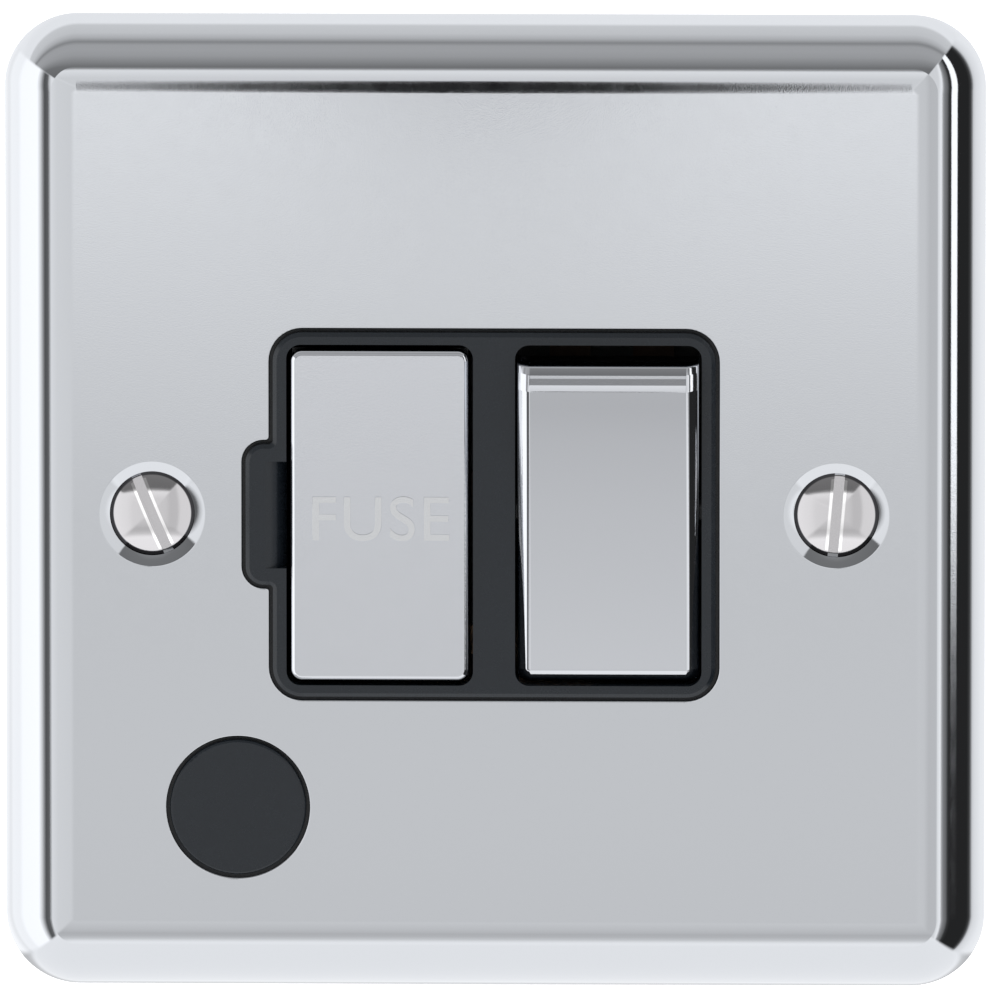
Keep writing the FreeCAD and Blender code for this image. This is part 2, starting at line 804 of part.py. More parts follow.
def make_housing_screws():
    head_y = base_back - d.housing_screw_sink
    tip_y = plate_back + d.pillar_length - d.housing_screw_bite + d.recess_fit
    screws = []
    for number, (across, up) in enumerate(pillar_places, start=1):
        screw = cheese_screw(
            f"housing_screw_{number}", head_y, d.housing_screw_head, d.housing_screw_head_height,
            d.housing_screw_radius, tip_y,
        )
        screws.append(place(screw, across, zero, up))
    group("housing_screws", screws)


def make_outlet_blank():
    """Snap-in disc that closes the cord outlet until a cord is fitted."""
    body = new_body("flex_outlet_blank")
    face = plate_front - d.blank_proud
    disc_radius = d.outlet_radius - d.outlet_gap
    spigot = d.blank_spigot_radius
    inner = spigot - d.blank_spigot_wall
    spigot_back = plate_back + d.blank_spigot_length
    profile = outline(
        [
            (face, zero), (face, disc_radius - d.blank_edge), (face + d.blank_edge, disc_radius),
            (plate_back, disc_radius), (plate_back, spigot), (spigot_back, spigot),
            (spigot_back, inner), (plate_back, inner), (plate_back, zero),
        ],
        {1: -d.blank_edge},
    )
    turned(body, "Revolution", profile)
    return keep(place(body, outlet_x, zero, outlet_z))


def make_cord_grip():
    """Bar that clamps the cord against the flange, and its two screws."""
    body = new_body("cord_grip_bar")
    seat_y = base_front + d.grip_boss_height
    back_y = seat_y + d.grip_bar_sheet
    half_width = d.grip_bar_width / 2
    arch_half = d.grip_pitch / 2 - d.grip_boss_radius
    arch_radius = (arch_half * arch_half + d.grip_arch * d.grip_arch) / (d.grip_arch * 2)
    side = outline(
        [
            (seat_y, -grip_half_length), (back_y, -grip_half_length),
            (back_y, grip_half_length), (seat_y, grip_half_length),
            (seat_y, arch_half), (seat_y, -arch_half),
        ],
        {4: -arch_radius},
    )
    grow(body, SIDE, -half_width, half_width, side)
    clear = d.grip_screw_radius + d.housing_screw_fit
    holes = [circle(zero, d.grip_pitch / 2 * side_sign, clear) for side_sign in (-1, 1)]
    hollow(body, FRONT, seat_y, back_y, *holes)
    keep(place(body, grip_x, zero, grip_z))
    screws = []
    for number, boss_z in enumerate((grip_top_z, grip_low_z), start=1):
        screw = cheese_screw(
            f"cord_grip_screw_{number}", back_y, d.grip_screw_head, d.grip_screw_head_height,
            d.grip_screw_radius, seat_y - d.grip_screw_depth + d.recess_fit,
        )
        screws.append(place(screw, grip_x, zero, boss_z))
    group("cord_grip_screws", screws)


def make_fuse_carrier():
    """Pull-out carrier: face, two long legs with stop lugs, one cheek, a lip and two fuse saddles."""
    body = new_body("fuse_carrier")
    wide, high = carrier_half_width, carrier_half_height
    leg_back = cap_back + d.carrier_legs
    grow(body, FRONT, cap_back, carrier_face_back, rectangle(-wide, wide, -high, high, d.opening_corner))
    core_wide, core_high = cap_half_width - d.cap_wall, cap_half_height - d.cap_wall
    core = rectangle(-core_wide, core_wide, -core_high, core_high, d.cap_corner - d.cap_wall / 2)
    grow(body, FRONT, cap_front + d.cap_wall, cap_back, core)
    legs = [rectangle(-wide, wide, carrier_inner, high), rectangle(-wide, wide, -high, -carrier_inner)]
    grow(body, FRONT, carrier_face_back, leg_back, *legs)
    cheek_back = cap_back + d.carrier_cheek
    grow(
        body, FRONT, carrier_face_back, cheek_back,
        rectangle(wide - d.carrier_wall, wide, -carrier_inner, carrier_inner),
    )
    lip_back = carrier_face_back + d.carrier_lip
    grow(
        body, FRONT, carrier_face_back, lip_back,
        rectangle(-wide, d.carrier_wall - wide, -carrier_inner, carrier_inner),
    )
    saddle_back = fuse_y + d.saddle_grip
    for low in (d.saddle_spread - d.saddle_wall / 2, -d.saddle_spread - d.saddle_wall / 2):
        block = rectangle(-d.saddle_half_width, d.saddle_half_width, low, low + d.saddle_wall)
        grow(body, FRONT, carrier_face_back, saddle_back, block)
    bore = fuse_body_radius() + d.saddle_fit
    hollow(body, TOP, -carrier_inner, carrier_inner, circle(zero, fuse_y, bore))
    lug_front = leg_back - d.lug_length
    lugs = [
        rectangle(-d.lug_width / 2, d.lug_width / 2, high, high + d.lug_height),
        rectangle(-d.lug_width / 2, d.lug_width / 2, -high - d.lug_height, -high),
    ]
    grow(body, FRONT, lug_front, leg_back, *lugs)
    keep(place(body, fuse_x))

    cap = new_body("fuse_carrier_cap")
    face = rectangle(-cap_half_width, cap_half_width, -cap_half_height, cap_half_height, d.cap_corner)
    grow(cap, FRONT, cap_front, cap_back, face)
    soften(cap, d.cap_edge, lambda edge: lies_at(edge, "Y", cap_front))
    hollow(cap, FRONT, cap_front + d.cap_wall, cap_back, core)
    keep(place(cap, fuse_x))


def fuse_body_radius():
    return d.fuse_radius - d.fuse_cap_wall


def make_fuse():
    """Cartridge fuse: a ceramic tube with a metal cup pressed on each end."""
    half = d.fuse_length / 2
    tube_half = half - d.fuse_cap_end
    tube = doc.addObject("Part::Cylinder", "fuse_tube")
    tube.Label = "fuse_tube"
    bind(tube, "Radius", fuse_body_radius())
    bind(tube, "Height", tube_half * 2)
    keep(place(tube, fuse_x, fuse_y, -tube_half))
    for label, side in (("fuse_end_cap_upper", 1), ("fuse_end_cap_lower", -1)):
        body = new_body(label)
        ends = [(half - d.fuse_cap_length) * side, half * side]
        low, high = sorted(ends, key=lambda size: size.number)
        grow(body, TOP, low, high, circle(zero, zero, d.fuse_radius))
        inner = [(half - d.fuse_cap_length) * side, tube_half * side]
        low, high = sorted(inner, key=lambda size: size.number)
        hollow(body, TOP, low, high, circle(zero, zero, fuse_body_radius()))
        keep(place(body, fuse_x, fuse_y))


def make_fuse_clips():
    """Sprung clips, each a folded strip with two prongs that hold one end of the fuse."""
    inner = d.fuse_radius + d.clip_gap
    outer = inner + d.clip_sheet
    back = strip_front
    front = fuse_y - d.clip_lead
    flare_y = front + d.clip_flare
    place_z = d.fuse_length / 2 - d.fuse_cap_length / 2
    section = outline([
        (-outer, back), (outer, back), (outer, flare_y), (outer + d.clip_flare, front),
        (inner + d.clip_flare, front), (inner, flare_y), (inner, back - d.clip_base),
        (-inner, back - d.clip_base), (-inner, flare_y), (-inner - d.clip_flare, front),
        (-outer - d.clip_flare, front), (-outer, flare_y),
    ])
    for label, centre in (("fuse_clip_upper", place_z), ("fuse_clip_lower", -place_z)):
        body = new_body(label)
        grow(body, TOP, -d.clip_width / 2, d.clip_width / 2, section)
        keep(place(body, fuse_x, zero, centre))


def make_rocker():
    """Rocker in its level attitude about its pivot, then tilted to rest with its top proud."""
    half_length = opening_half_height - d.rocker_end_gap
    crest_up = half_length - d.rocker_crest
    crest_y = -d.rocker_face - d.rocker_hollow
    hollow_radius = (crest_up * crest_up + d.rocker_hollow * d.rocker_hollow) / (d.rocker_hollow * 2)
    lean_sine = crest_up / hollow_radius
    lean_cosine = (hollow_radius - d.rocker_hollow) / hollow_radius
    crest_radius = d.rocker_crest / (lean_sine + 1)
    end_y = crest_y + crest_radius * lean_cosine
    wall = d.rocker_cap_wall

    def boat(inset):
        """The side view of the rocker's front, with a hollow face that runs smoothly into two crests."""
        top, back = half_length - inset, -d.rocker_skirt
        lip_y, lip_up = crest_y + inset * lean_cosine, crest_up + inset * lean_sine
        return outline(
            [(back, -top), (back, top), (end_y, top), (lip_y, lip_up), (lip_y, -lip_up), (end_y, -top)],
            {
                2: crest_radius - inset,
                3: -hollow_radius - inset,
                4: crest_radius - inset,
            },
        )

    cap = new_body("rocker_cap")
    wide = opening_width / 2 - d.rocker_side_gap
    grow(cap, SIDE, -wide, wide, boat(zero))
    soften(cap, d.rocker_cap_edge, lambda edge: on_rocker_side(edge, wide))
    hollow(cap, SIDE, wall - wide, wide - wall, boat(wall))
    keep(place_on_pivot(cap))

    body = new_body("rocker")
    inner = wide - wall
    grow(body, SIDE, -inner, inner, boat(wall))
    dolly = rectangle(-inner, inner, -d.dolly_half_height, d.dolly_half_height)
    grow(body, FRONT, -d.rocker_skirt, d.dolly_back, dolly)
    trunnion_half = opening_width / 2 + d.bearing_depth - d.trunnion_end_gap
    grow(body, SIDE, -trunnion_half, trunnion_half, circle(zero, zero, d.trunnion_radius))
    guide_bore = d.plunger_radius + d.plunger_fit
    for across in (-d.pole_offset, d.pole_offset):
        grow(body, FRONT, d.dolly_back, d.guide_reach, circle(across, zero, d.guide_radius))
        hollow(body, FRONT, -d.spring_seat, d.guide_reach, circle(across, zero, guide_bore))
    keep(place_on_pivot(body))


def on_rocker_side(edge, wide):
    """Whether an edge bounds a flat side of the rocker's cap in front of its skirt."""
    on_side = lies_at(edge, "X", wide) or lies_at(edge, "X", -wide)
    return on_side and edge.BoundBox.YMin < -d.rocker_skirt.number - TINY


def place_on_pivot(thing, across=zero):
    """Seat a piece on the tilted rocker, with its own origin on the pivot line."""
    return place(thing, rocker_x + across, pivot_y, zero, ABOUT_X, d.rocker_tilt)


def make_plungers():
    """Sprung plungers, carried in the rocker, that press the rocking contacts over centre."""
    tip_y = d.plunger_reach - d.plunger_radius
    for pole, across in (("line", -d.pole_offset), ("neutral", d.pole_offset)):
        body = new_body(f"plunger_{pole}")
        profile = outline(
            [
                (d.plunger_back, zero), (d.plunger_back, d.plunger_radius),
                (tip_y, d.plunger_radius), (d.plunger_reach, zero),
            ],
            {2: -d.plunger_radius},
        )
        turned(body, "Revolution", profile)
        keep(place_on_pivot(body, across))

        spring = new_body(f"plunger_spring_{pole}")
        start_y = d.spring_wire - d.spring_seat
        wire = sketch_on(spring, SIDE, zero, [
            rectangle(
                start_y - d.spring_wire, start_y + d.spring_wire,
                d.spring_radius - d.spring_wire, d.spring_radius + d.spring_wire,
            ),
        ])
        coil = spring.newObject("PartDesign::AdditiveHelix", "spring_coil")
        coil.Profile = wire
        coil.ReferenceAxis = (wire, ["H_Axis"])
        coil.Mode = "pitch-height-angle"
        bind(coil, "Pitch", d.spring_pitch)
        bind(coil, "Height", d.plunger_back + d.spring_seat - d.spring_wire * 2)
        keep(place_on_pivot(spring, across))


def make_rocking_contacts():
    """Moving contact of each pole: a strip with two arms in a shallow V, closed at rest."""
    swing = d.contact_swing
    arm_back = (-d.contact_lift * swing.cosine(), d.contact_lift * swing.sine())
    reach = d.contact_lift + d.contact_sheet
    arm_front = (-reach * swing.cosine(), reach * swing.sine())
    fold = swing * 2
    low_arm = (-d.contact_arm * fold.sine(), -d.contact_arm * fold.cosine())
    profile = outline([
        (arm_back[0], d.contact_arm), (arm_front[0], d.contact_arm), arm_front,
        (arm_front[0] + low_arm[0], arm_front[1] + low_arm[1]),
        (arm_back[0] + low_arm[0], arm_back[1] + low_arm[1]), arm_back,
    ])
    for pole, across in (("line", line_x), ("neutral", neutral_x)):
        body = new_body(f"rocking_contact_{pole}")
        half_width = d.strip_width / 2
        grow(body, SIDE, -half_width, half_width, profile)
        hollow(body, SIDE, -half_width, half_width, circle(zero, zero, d.post_radius + d.post_fit))
        grow(body, FRONT, arm_back[0], d.button_face, circle(zero, d.button_place, d.button_radius))
        keep(place(body, across, contact_y))


def strip_body(label, *loops):
    """A flat strip in the plane of the well floor, drawn as one or more joined outlines."""
    body = new_body(label)
    for loop in loops:
        grow(body, FRONT, strip_front, floor_y, loop)
    return body


def upright(across, low, high):
    """The outline of a strip that runs up or down at one X."""
    half = d.strip_width / 2
    return rectangle(across - half, across + half, low, high)


def add_post(body, across):
    """The blade with a rounded top on which a rocking contact pivots."""
    half = d.post_width / 2
    radius = d.post_radius
    blade = outline(
        [
            (contact_y, -radius), (strip_front, -radius), (strip_front, radius),
            (contact_y, radius), (contact_y - radius, zero),
        ],
        {3: radius, 4: radius},
    )
    grow(body, SIDE, across - half, across + half, blade)


def make_strips():
    """Fixed contacts, pivot posts and the load link, which lie on the floor of the wells."""
    button_y = contact_y + d.button_face + d.button_gap
    for pole, across in (("line", line_x), ("neutral", neutral_x)):
        body = strip_body(f"supply_contact_{pole}", upright(across, d.contact_start, terminal_outer))
        grow(body, FRONT, button_y, strip_front, circle(across, d.button_place, d.button_radius))
        keep(body)
    half_link = d.link_width / 2
    half_strip = d.strip_width / 2
    clip_z = d.fuse_length / 2 - d.fuse_cap_length / 2 + d.clip_width / 2
    line = strip_body(
        "pivot_post_line",
        rectangle(fuse_x - half_strip, line_x + half_strip, -half_link, half_link),
        upright(fuse_x, half_link, clip_z),
    )
    add_post(line, line_x)
    keep(line)
    neutral = strip_body("pivot_post_neutral", upright(neutral_x, -terminal_outer, half_link))
    add_post(neutral, neutral_x)
    keep(neutral)
    link_top = -load_link_top
    link_low = link_top - d.load_link_width
    clip_top = -clip_z + d.clip_width
    keep(strip_body(
        "load_link",
        rectangle(fuse_x - half_strip, line_x + half_strip, link_low, link_top),
        upright(fuse_x, link_top, clip_top),
        upright(line_x, -terminal_outer, link_low),
    ))


def terminal_block(label, width, bores, across, side):
    """A brass block above its strip, bored for a wire and tapped for a screw from behind."""
    body = new_body(label)
    low, high = (terminal_inner, terminal_outer) if side > 0 else (-terminal_outer, -terminal_inner)
    middle = (terminal_inner + terminal_outer) / 2 * side
    grow(body, FRONT, terminal_front, terminal_back, rectangle(-width / 2, width / 2, low, high))
    hollow(body, TOP, low, high, *[circle(bore, terminal_bore_y, d.terminal_bore) for bore in bores])
    tapped = d.terminal_screw_radius + d.terminal_screw_fit
    hollow(body, FRONT, terminal_bore_y, terminal_back, *[circle(bore, middle, tapped) for bore in bores])
    keep(place(body, across))
    return [terminal_screw(across + bore, middle) for bore in bores]


def terminal_screw(across, up):
    tip_y = terminal_bore_y + d.terminal_bore + d.terminal_screw_tip
    head_y = terminal_back + d.terminal_screw_stand
    screw = cheese_screw(
        "terminal_screw", head_y, d.terminal_screw_head, d.terminal_screw_head_height,
        d.terminal_screw_radius, tip_y,
    )
    return place(screw, across, zero, up)


def make_terminals():
    """Two supply, two load and one double earth terminal, with a screw for each bore."""
    screws = []
    for pole, across in (("line", line_x), ("neutral", neutral_x)):
        for duty, side in (("supply", 1), ("load", -1)):
            screws += terminal_block(f"{duty}_terminal_{pole}", d.terminal_width, [zero], across, side)
    earth_bores = [d.earth_bore_pitch / 2 * -1, d.earth_bore_pitch / 2]
    screws += terminal_block("earth_terminal", d.earth_width, earth_bores, earth_x, 1)
    group("terminal_screws", screws)


def make_earth_strap():
    """Folded strap from under the earth terminal, over the base's top, to a stud on the plate."""
    strap = new_body("earth_strap")
    half = d.strap_width / 2
    inner_z = base_half_height + d.strap_gap
    outer_z = inner_z + d.strap_sheet
    foot_y = plate_back + d.earth_stud_foot_height
    tongue_back = foot_y + d.strap_sheet
    tongue_end = earth_stud_z + half
    side = outline([
        (floor_y, terminal_inner), (floor_y, outer_z), (tongue_back, outer_z),
        (tongue_back, tongue_end), (foot_y, tongue_end), (foot_y, inner_z),
        (floor_y - d.strap_sheet, inner_z), (floor_y - d.strap_sheet, terminal_inner),
    ])
    grow(strap, SIDE, -half, half, side)
    hole = circle(zero, earth_stud_z, d.earth_stud_radius + d.recess_fit)
    hollow(strap, FRONT, foot_y, tongue_back, hole)
    keep(place(strap, earth_x))

    stud = new_body("earth_stud")
    grow(stud, FRONT, plate_back, foot_y, circle(zero, zero, d.earth_stud_foot))
    grow(stud, FRONT, foot_y, plate_back + d.earth_stud_length, circle(zero, zero, d.earth_stud_radius))
    keep(place(stud, earth_x, zero, earth_stud_z))

    nut = new_body("earth_stud_nut")
    corners = [
        (
            d.earth_nut_radius * math.cos(math.radians(60 * k)),
            d.earth_nut_radius * math.sin(math.radians(60 * k)),
        )
        for k in range(6)
    ]
    grow(nut, FRONT, tongue_back, tongue_back + d.earth_nut_height, outline(corners))
    hollow(
        nut, FRONT, tongue_back, tongue_back + d.earth_nut_height,
        circle(zero, zero, d.earth_stud_radius),
    )
    keep(place(nut, earth_x, zero, earth_stud_z))


make_front_plate()
make_fixing_screw("fixing_screw_left", -fixing_x, d.left_slot_tilt)
make_fixing_screw("fixing_screw_right", fixing_x, d.right_slot_tilt)
make_insert()
make_base()
make_pillars()
make_housing_screws()
make_outlet_blank()
make_cord_grip()
make_fuse_carrier()
make_fuse()
make_fuse_clips()
make_rocker()
make_plungers()
make_rocking_contacts()
make_strips()
make_terminals()
make_earth_strap()
doc.recompute()

faults = [thing.Label for thing in doc.Objects if {"Invalid", "Error"} & set(thing.State)]
for node in nodes:
    if node.Shape.isNull() or not node.Shape.isValid() or not node.Shape.Solids:
        faults.append(node.Label)
if faults:
    raise RuntimeError(f"these did not build: {faults}")

os.makedirs("parts", exist_ok=True)
for node in nodes:
    node.Shape.exportStep(f"parts/{node.Label}.step")
print(len(nodes), "sub-parts written")
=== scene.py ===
import json
import math

import bpy
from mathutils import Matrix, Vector
from mathutils.geometry import tessellate_polygon


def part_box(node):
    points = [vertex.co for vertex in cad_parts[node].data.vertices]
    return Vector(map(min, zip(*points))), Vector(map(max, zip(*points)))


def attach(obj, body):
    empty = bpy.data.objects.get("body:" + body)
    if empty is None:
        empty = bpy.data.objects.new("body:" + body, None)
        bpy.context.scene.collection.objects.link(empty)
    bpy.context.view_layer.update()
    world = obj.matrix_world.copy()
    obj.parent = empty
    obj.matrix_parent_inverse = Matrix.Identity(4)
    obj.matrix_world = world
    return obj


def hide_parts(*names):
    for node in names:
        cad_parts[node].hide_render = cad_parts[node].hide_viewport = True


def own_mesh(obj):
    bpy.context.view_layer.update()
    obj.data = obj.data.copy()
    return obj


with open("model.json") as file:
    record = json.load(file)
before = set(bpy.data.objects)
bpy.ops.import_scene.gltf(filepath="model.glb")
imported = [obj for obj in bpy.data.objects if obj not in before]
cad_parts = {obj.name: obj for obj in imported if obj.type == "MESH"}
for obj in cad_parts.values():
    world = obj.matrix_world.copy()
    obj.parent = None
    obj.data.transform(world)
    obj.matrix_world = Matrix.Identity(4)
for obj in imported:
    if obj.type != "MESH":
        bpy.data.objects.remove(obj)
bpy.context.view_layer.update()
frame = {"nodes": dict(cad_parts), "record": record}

# Lengths are in millimetres, which MM turns into metres, and angles are in degrees.
MM = 0.001
NODES = frame["nodes"]


def box_mm(node):
    """A node's lowest and highest corners in millimetres."""
    low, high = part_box(node)
    return Vector(low) / MM, Vector(high) / MM


PLATE_LOW, PLATE_HIGH = box_mm("front_plate")
PLATE_HALF = (PLATE_HIGH.x - PLATE_LOW.x) / 2
PLATE_UP = (PLATE_HIGH.z + PLATE_LOW.z) / 2
FACE_Y = PLATE_LOW.y
SCREW_LOW, SCREW_HIGH = box_mm("fixing_screw_right")
FIXING_X = (SCREW_LOW.x + SCREW_HIGH.x) / 2
BLANK_LOW, BLANK_HIGH = box_mm("flex_outlet_blank")
OUTLET = ((BLANK_LOW + BLANK_HIGH) / 2).xz
CAP_LOW, CAP_HIGH = box_mm("fuse_carrier_cap")
ROCKER_LOW, ROCKER_HIGH = box_mm("rocker_cap")

# Steps round a whole circle and round one corner of each outline
ROUND_STEPS = 96
PLATE_STEPS = 24
HOLE_STEPS = 10
CAP_STEPS = 12

# Pressed plate
SHEET = 1.0
PLATE_CORNER = 6.5
RIM_WIDTH = 4.2
RIM_DEPTH = 4.83
RIM_RADIUS = 9.55
RIM_STEPS = 30
CUSHION_WIDTH = 2.25
CUSHION_STEPS = 14
HOLE_EDGE = 0.16
OUTLET_RADIUS = 6.3
INSERT_HALF_WIDTH = 19.8
INSERT_HALF_HEIGHT = 16.5
INSERT_CORNER = 2.9
TAB_REACH = 2.4
TAB_HALF_HEIGHT = 6.55
TAB_CORNER = 1.9
TAB_CROOK = 0.35

# Dishes for the screws: a gently sloping ledge, a step and a cone down to the hole
DISH_RADIUS = 4.55
DISH_SLOPE = 28.0
DISH_LEDGE_TURN = 4.0
DISH_STEP = 3.74
DISH_STEP_TILT = 85.0
DISH_CONE_TILT = 45.0
DISH_HOLE = 2.0

# Painted light on the screws' heads: a painted dark ring of shade and reflection at the rim, painted
# shade in the slot and painted highlights along its edges
HEAD_RIM = 3.42
HEAD_RIM_BLUR = 0.06
HEAD_RIM_PAINTED_SHADE = 0.12
SLOT_SHADE = 1.25
SLOT_BLUR = 0.05
SLOT_PAINTED_SHADE = 0.86
SLOT_HALF_WIDTH = 0.45
LEFT_SLOT_LEAN = -23.0
RIGHT_SLOT_LEAN = 5.0
PAINTED_HIGHLIGHT_WIDTH = 0.26
PAINTED_HIGHLIGHT_END = 0.2
PAINTED_HIGHLIGHT_COLOUR = (0.97, 0.96, 0.97, 1.0)
BEYOND_SCREW = 5.0

# Fuse carrier's cap, whose edge rolls back over (place, tilt of the surface) stops
CAP_CORNER = 1.0
CAP_EDGE = 0.42
CAP_ROLL = [(0.0, 0.0), (0.02, 29.0), (0.06, 38.0), (0.34, 50.0), (0.40, 72.0), (0.42, 88.0)]

# Word on that cap
WORD_SIZE = 5.6
WORD_SPACING = 1.08
WORD_RAISE = 0.03
WORD_PROUD = 0.01
WORD_UP = -0.45

# Rocker's cap, level on its pivot, as (place, tilt of the surface) stops from its middle
ROCKER_PIVOT_Y = -0.6
ROCKER_TILT = 6.5
ROCKER_FACE_Y = -6.2
ROCKER_SKIRT_Y = -1.8
ROCKER_SIDE = [
    (0.0, 0.0), (3.0, 0.0), (6.0, 0.2), (6.80, 0.5), (6.87, 14.0), (6.93, 29.5), (7.12, 31.5),
    (7.20, 38.0), (7.84, 50.0), (7.93, 62.0), (7.98, 76.0), (8.00, 86.0),
]
ROCKER_UPPER = [
    (0.0, 0.0), (3.0, -1.06), (6.0, -2.13), (9.0, -3.19), (12.2, -4.33), (12.24, 8.0),
    (12.30, 18.0), (12.76, 22.5), (12.82, 24.6), (13.30, 24.6), (13.36, 23.5), (13.58, 23.5),
    (13.64, 36.0), (14.14, 38.0), (14.21, 56.0), (14.26, 76.0), (14.30, 87.0),
]
ROCKER_LOWER = [
    (0.0, 0.0), (3.0, -1.06), (6.0, -2.13), (9.0, -3.19), (13.00, -4.61), (13.08, 10.0),
    (13.18, 24.0), (13.60, 34.0), (13.92, 48.0), (14.14, 66.0), (14.26, 80.0), (14.30, 87.0),
]

# Plungers' springs, from their seats in the rocker
SPRING_SEAT_Y = -2.0

# Contact strips that are only seen deep in the rocker's well, which get a near-black alloy as painted
# shade
SHADED_NODES = {
    "supply_contact_line", "supply_contact_neutral", "pivot_post_line", "pivot_post_neutral",
    "rocking_contact_line", "rocking_contact_neutral",
}

# Grain of every finish: the fine noise's relief, how much larger the broad noise is than the fine
# one, and the span that both mostly keep to
RELIEF = 0.05
BROAD_GRAIN = 14
NOISE_SPAN = (0.3, 0.7)

# Camera: a long lens a little above the object
CAMERA_DISTANCE = 2500.0
CAMERA_ELEVATION = 8.0
CAMERA_AZIMUTH = 1.2
CAMERA_CLIP = (50.0, 20000.0)
VIEW_WIDTH = 88.1
AIM = Vector((0.52, FACE_Y, 1.33))
SENSOR = 36.0

# Floor and key light
FLOOR_REACH = 3000.0
FLOOR_DROP = 0.05
FLOOR_GLOW = 0.6
KEY_PLACE = (-500.0, -700.0, 750.0)
KEY_SIZE = (700.0, 500.0)
KEY_WATTS = 4.0

# Studio dome, as (place, brightness) stops. By the rise of a direction, from -1 straight down to 1
# straight up: bright far below, greyer towards the horizon and bright again from just under it
DOME = [
    (-1.0, 1.33), (-0.72, 1.36), (-0.68, 1.40), (-0.65, 1.30), (-0.60, 0.97), (-0.54, 0.80),
    (-0.476, 0.75), (-0.445, 0.81), (-0.374, 0.88), (-0.269, 0.946), (-0.211, 0.98),
    (-0.175, 0.95), (-0.153, 0.915), (-0.1495, 0.965), (-0.1475, 0.996), (-0.1440, 0.945),
    (-0.1405, 0.905), (-0.1375, 0.94), (-0.1342, 1.005), (-0.1311, 1.145), (-0.1279, 1.27),
    (-0.124, 1.31), (1.0, 1.31),
]

# By degrees from the front up and over: a pale strip, a grey ceiling, and white towards the back
CEILING = [
    (0.0, 1.06), (14.0, 1.06), (25.0, 1.26), (28.0, 0.45), (31.0, 0.23), (52.0, 0.28),
    (57.0, 0.39), (65.0, 0.55), (72.0, 0.60), (78.0, 0.59), (82.5, 0.40), (88.0, 0.73),
    (95.0, 0.93), (107.0, 1.00), (111.0, 1.36), (125.0, 1.34), (140.0, 1.40), (180.0, 1.40),
]

# By degrees round from the front: one narrow dark flag on the left and two wide ones on the right
LEFT_WALL = [
    (-180.0, 1.50), (-139.0, 1.55), (-127.0, 1.36), (-121.0, 1.55), (-108.0, 1.55),
    (-102.0, 1.72), (-78.0, 1.76), (-74.0, 1.10), (-71.0, 0.50), (-68.5, 0.14), (-64.0, 0.20),
    (-61.5, 0.90), (-59.0, 1.30), (-38.0, 1.20), (-30.0, 1.10), (0.0, 1.05),
]
RIGHT_WALL = [
    (0.0, 1.00), (18.0, 0.96), (25.0, 0.84), (35.0, 0.85), (40.0, 1.10), (58.0, 1.12),
    (62.5, 1.45), (64.5, 0.60), (66.5, 0.36), (70.0, 0.22), (72.0, 0.06), (76.0, 0.03),
    (100.0, 0.03), (104.0, 0.08), (106.5, 0.35), (109.0, 1.02), (113.0, 1.22), (126.0, 1.38),
    (180.0, 1.42),
]

# Where the walls meet the ceiling and the dome below, on each side of the front
LEFT_CEILING_REACH = 0.45
RIGHT_CEILING_REACH = 1.0
CEILING_BLUR = 0.04
BASE_BLUR = 0.06
MIDDLE_BLUR = 0.01
FRONT_BLUR = 0.05
BEYOND_DOME = 3.0

# Bright upright strip on the right wall
STRIPE = (75.5, 83.5)
STRIPE_BLUR = 0.8
STRIPE_LIGHT = 1.8
STRIPE_FOOT = -0.1415
STRIPE_FOOT_BLUR = 0.0015

# Dark camera, with the person behind it, in front of the object
FIGURE_X = -0.0216
FIGURE_HALF_WIDTH = 0.0132
FIGURE_UP = 2.0
FIGURE_HALF_HEIGHT = 9.1
FIGURE_BLUR = 0.10
FIGURE_LIGHT = 0.01


def sine(angle):
    return math.sin(math.radians(angle))


def cosine(angle):
    return math.cos(math.radians(angle))


def slope_of(angle):
    return math.tan(math.radians(angle))


def new_object(name, data):
    """An object with this data, in the scene."""
    item = bpy.data.objects.new(name, data)
    bpy.context.collection.objects.link(item)
    return item


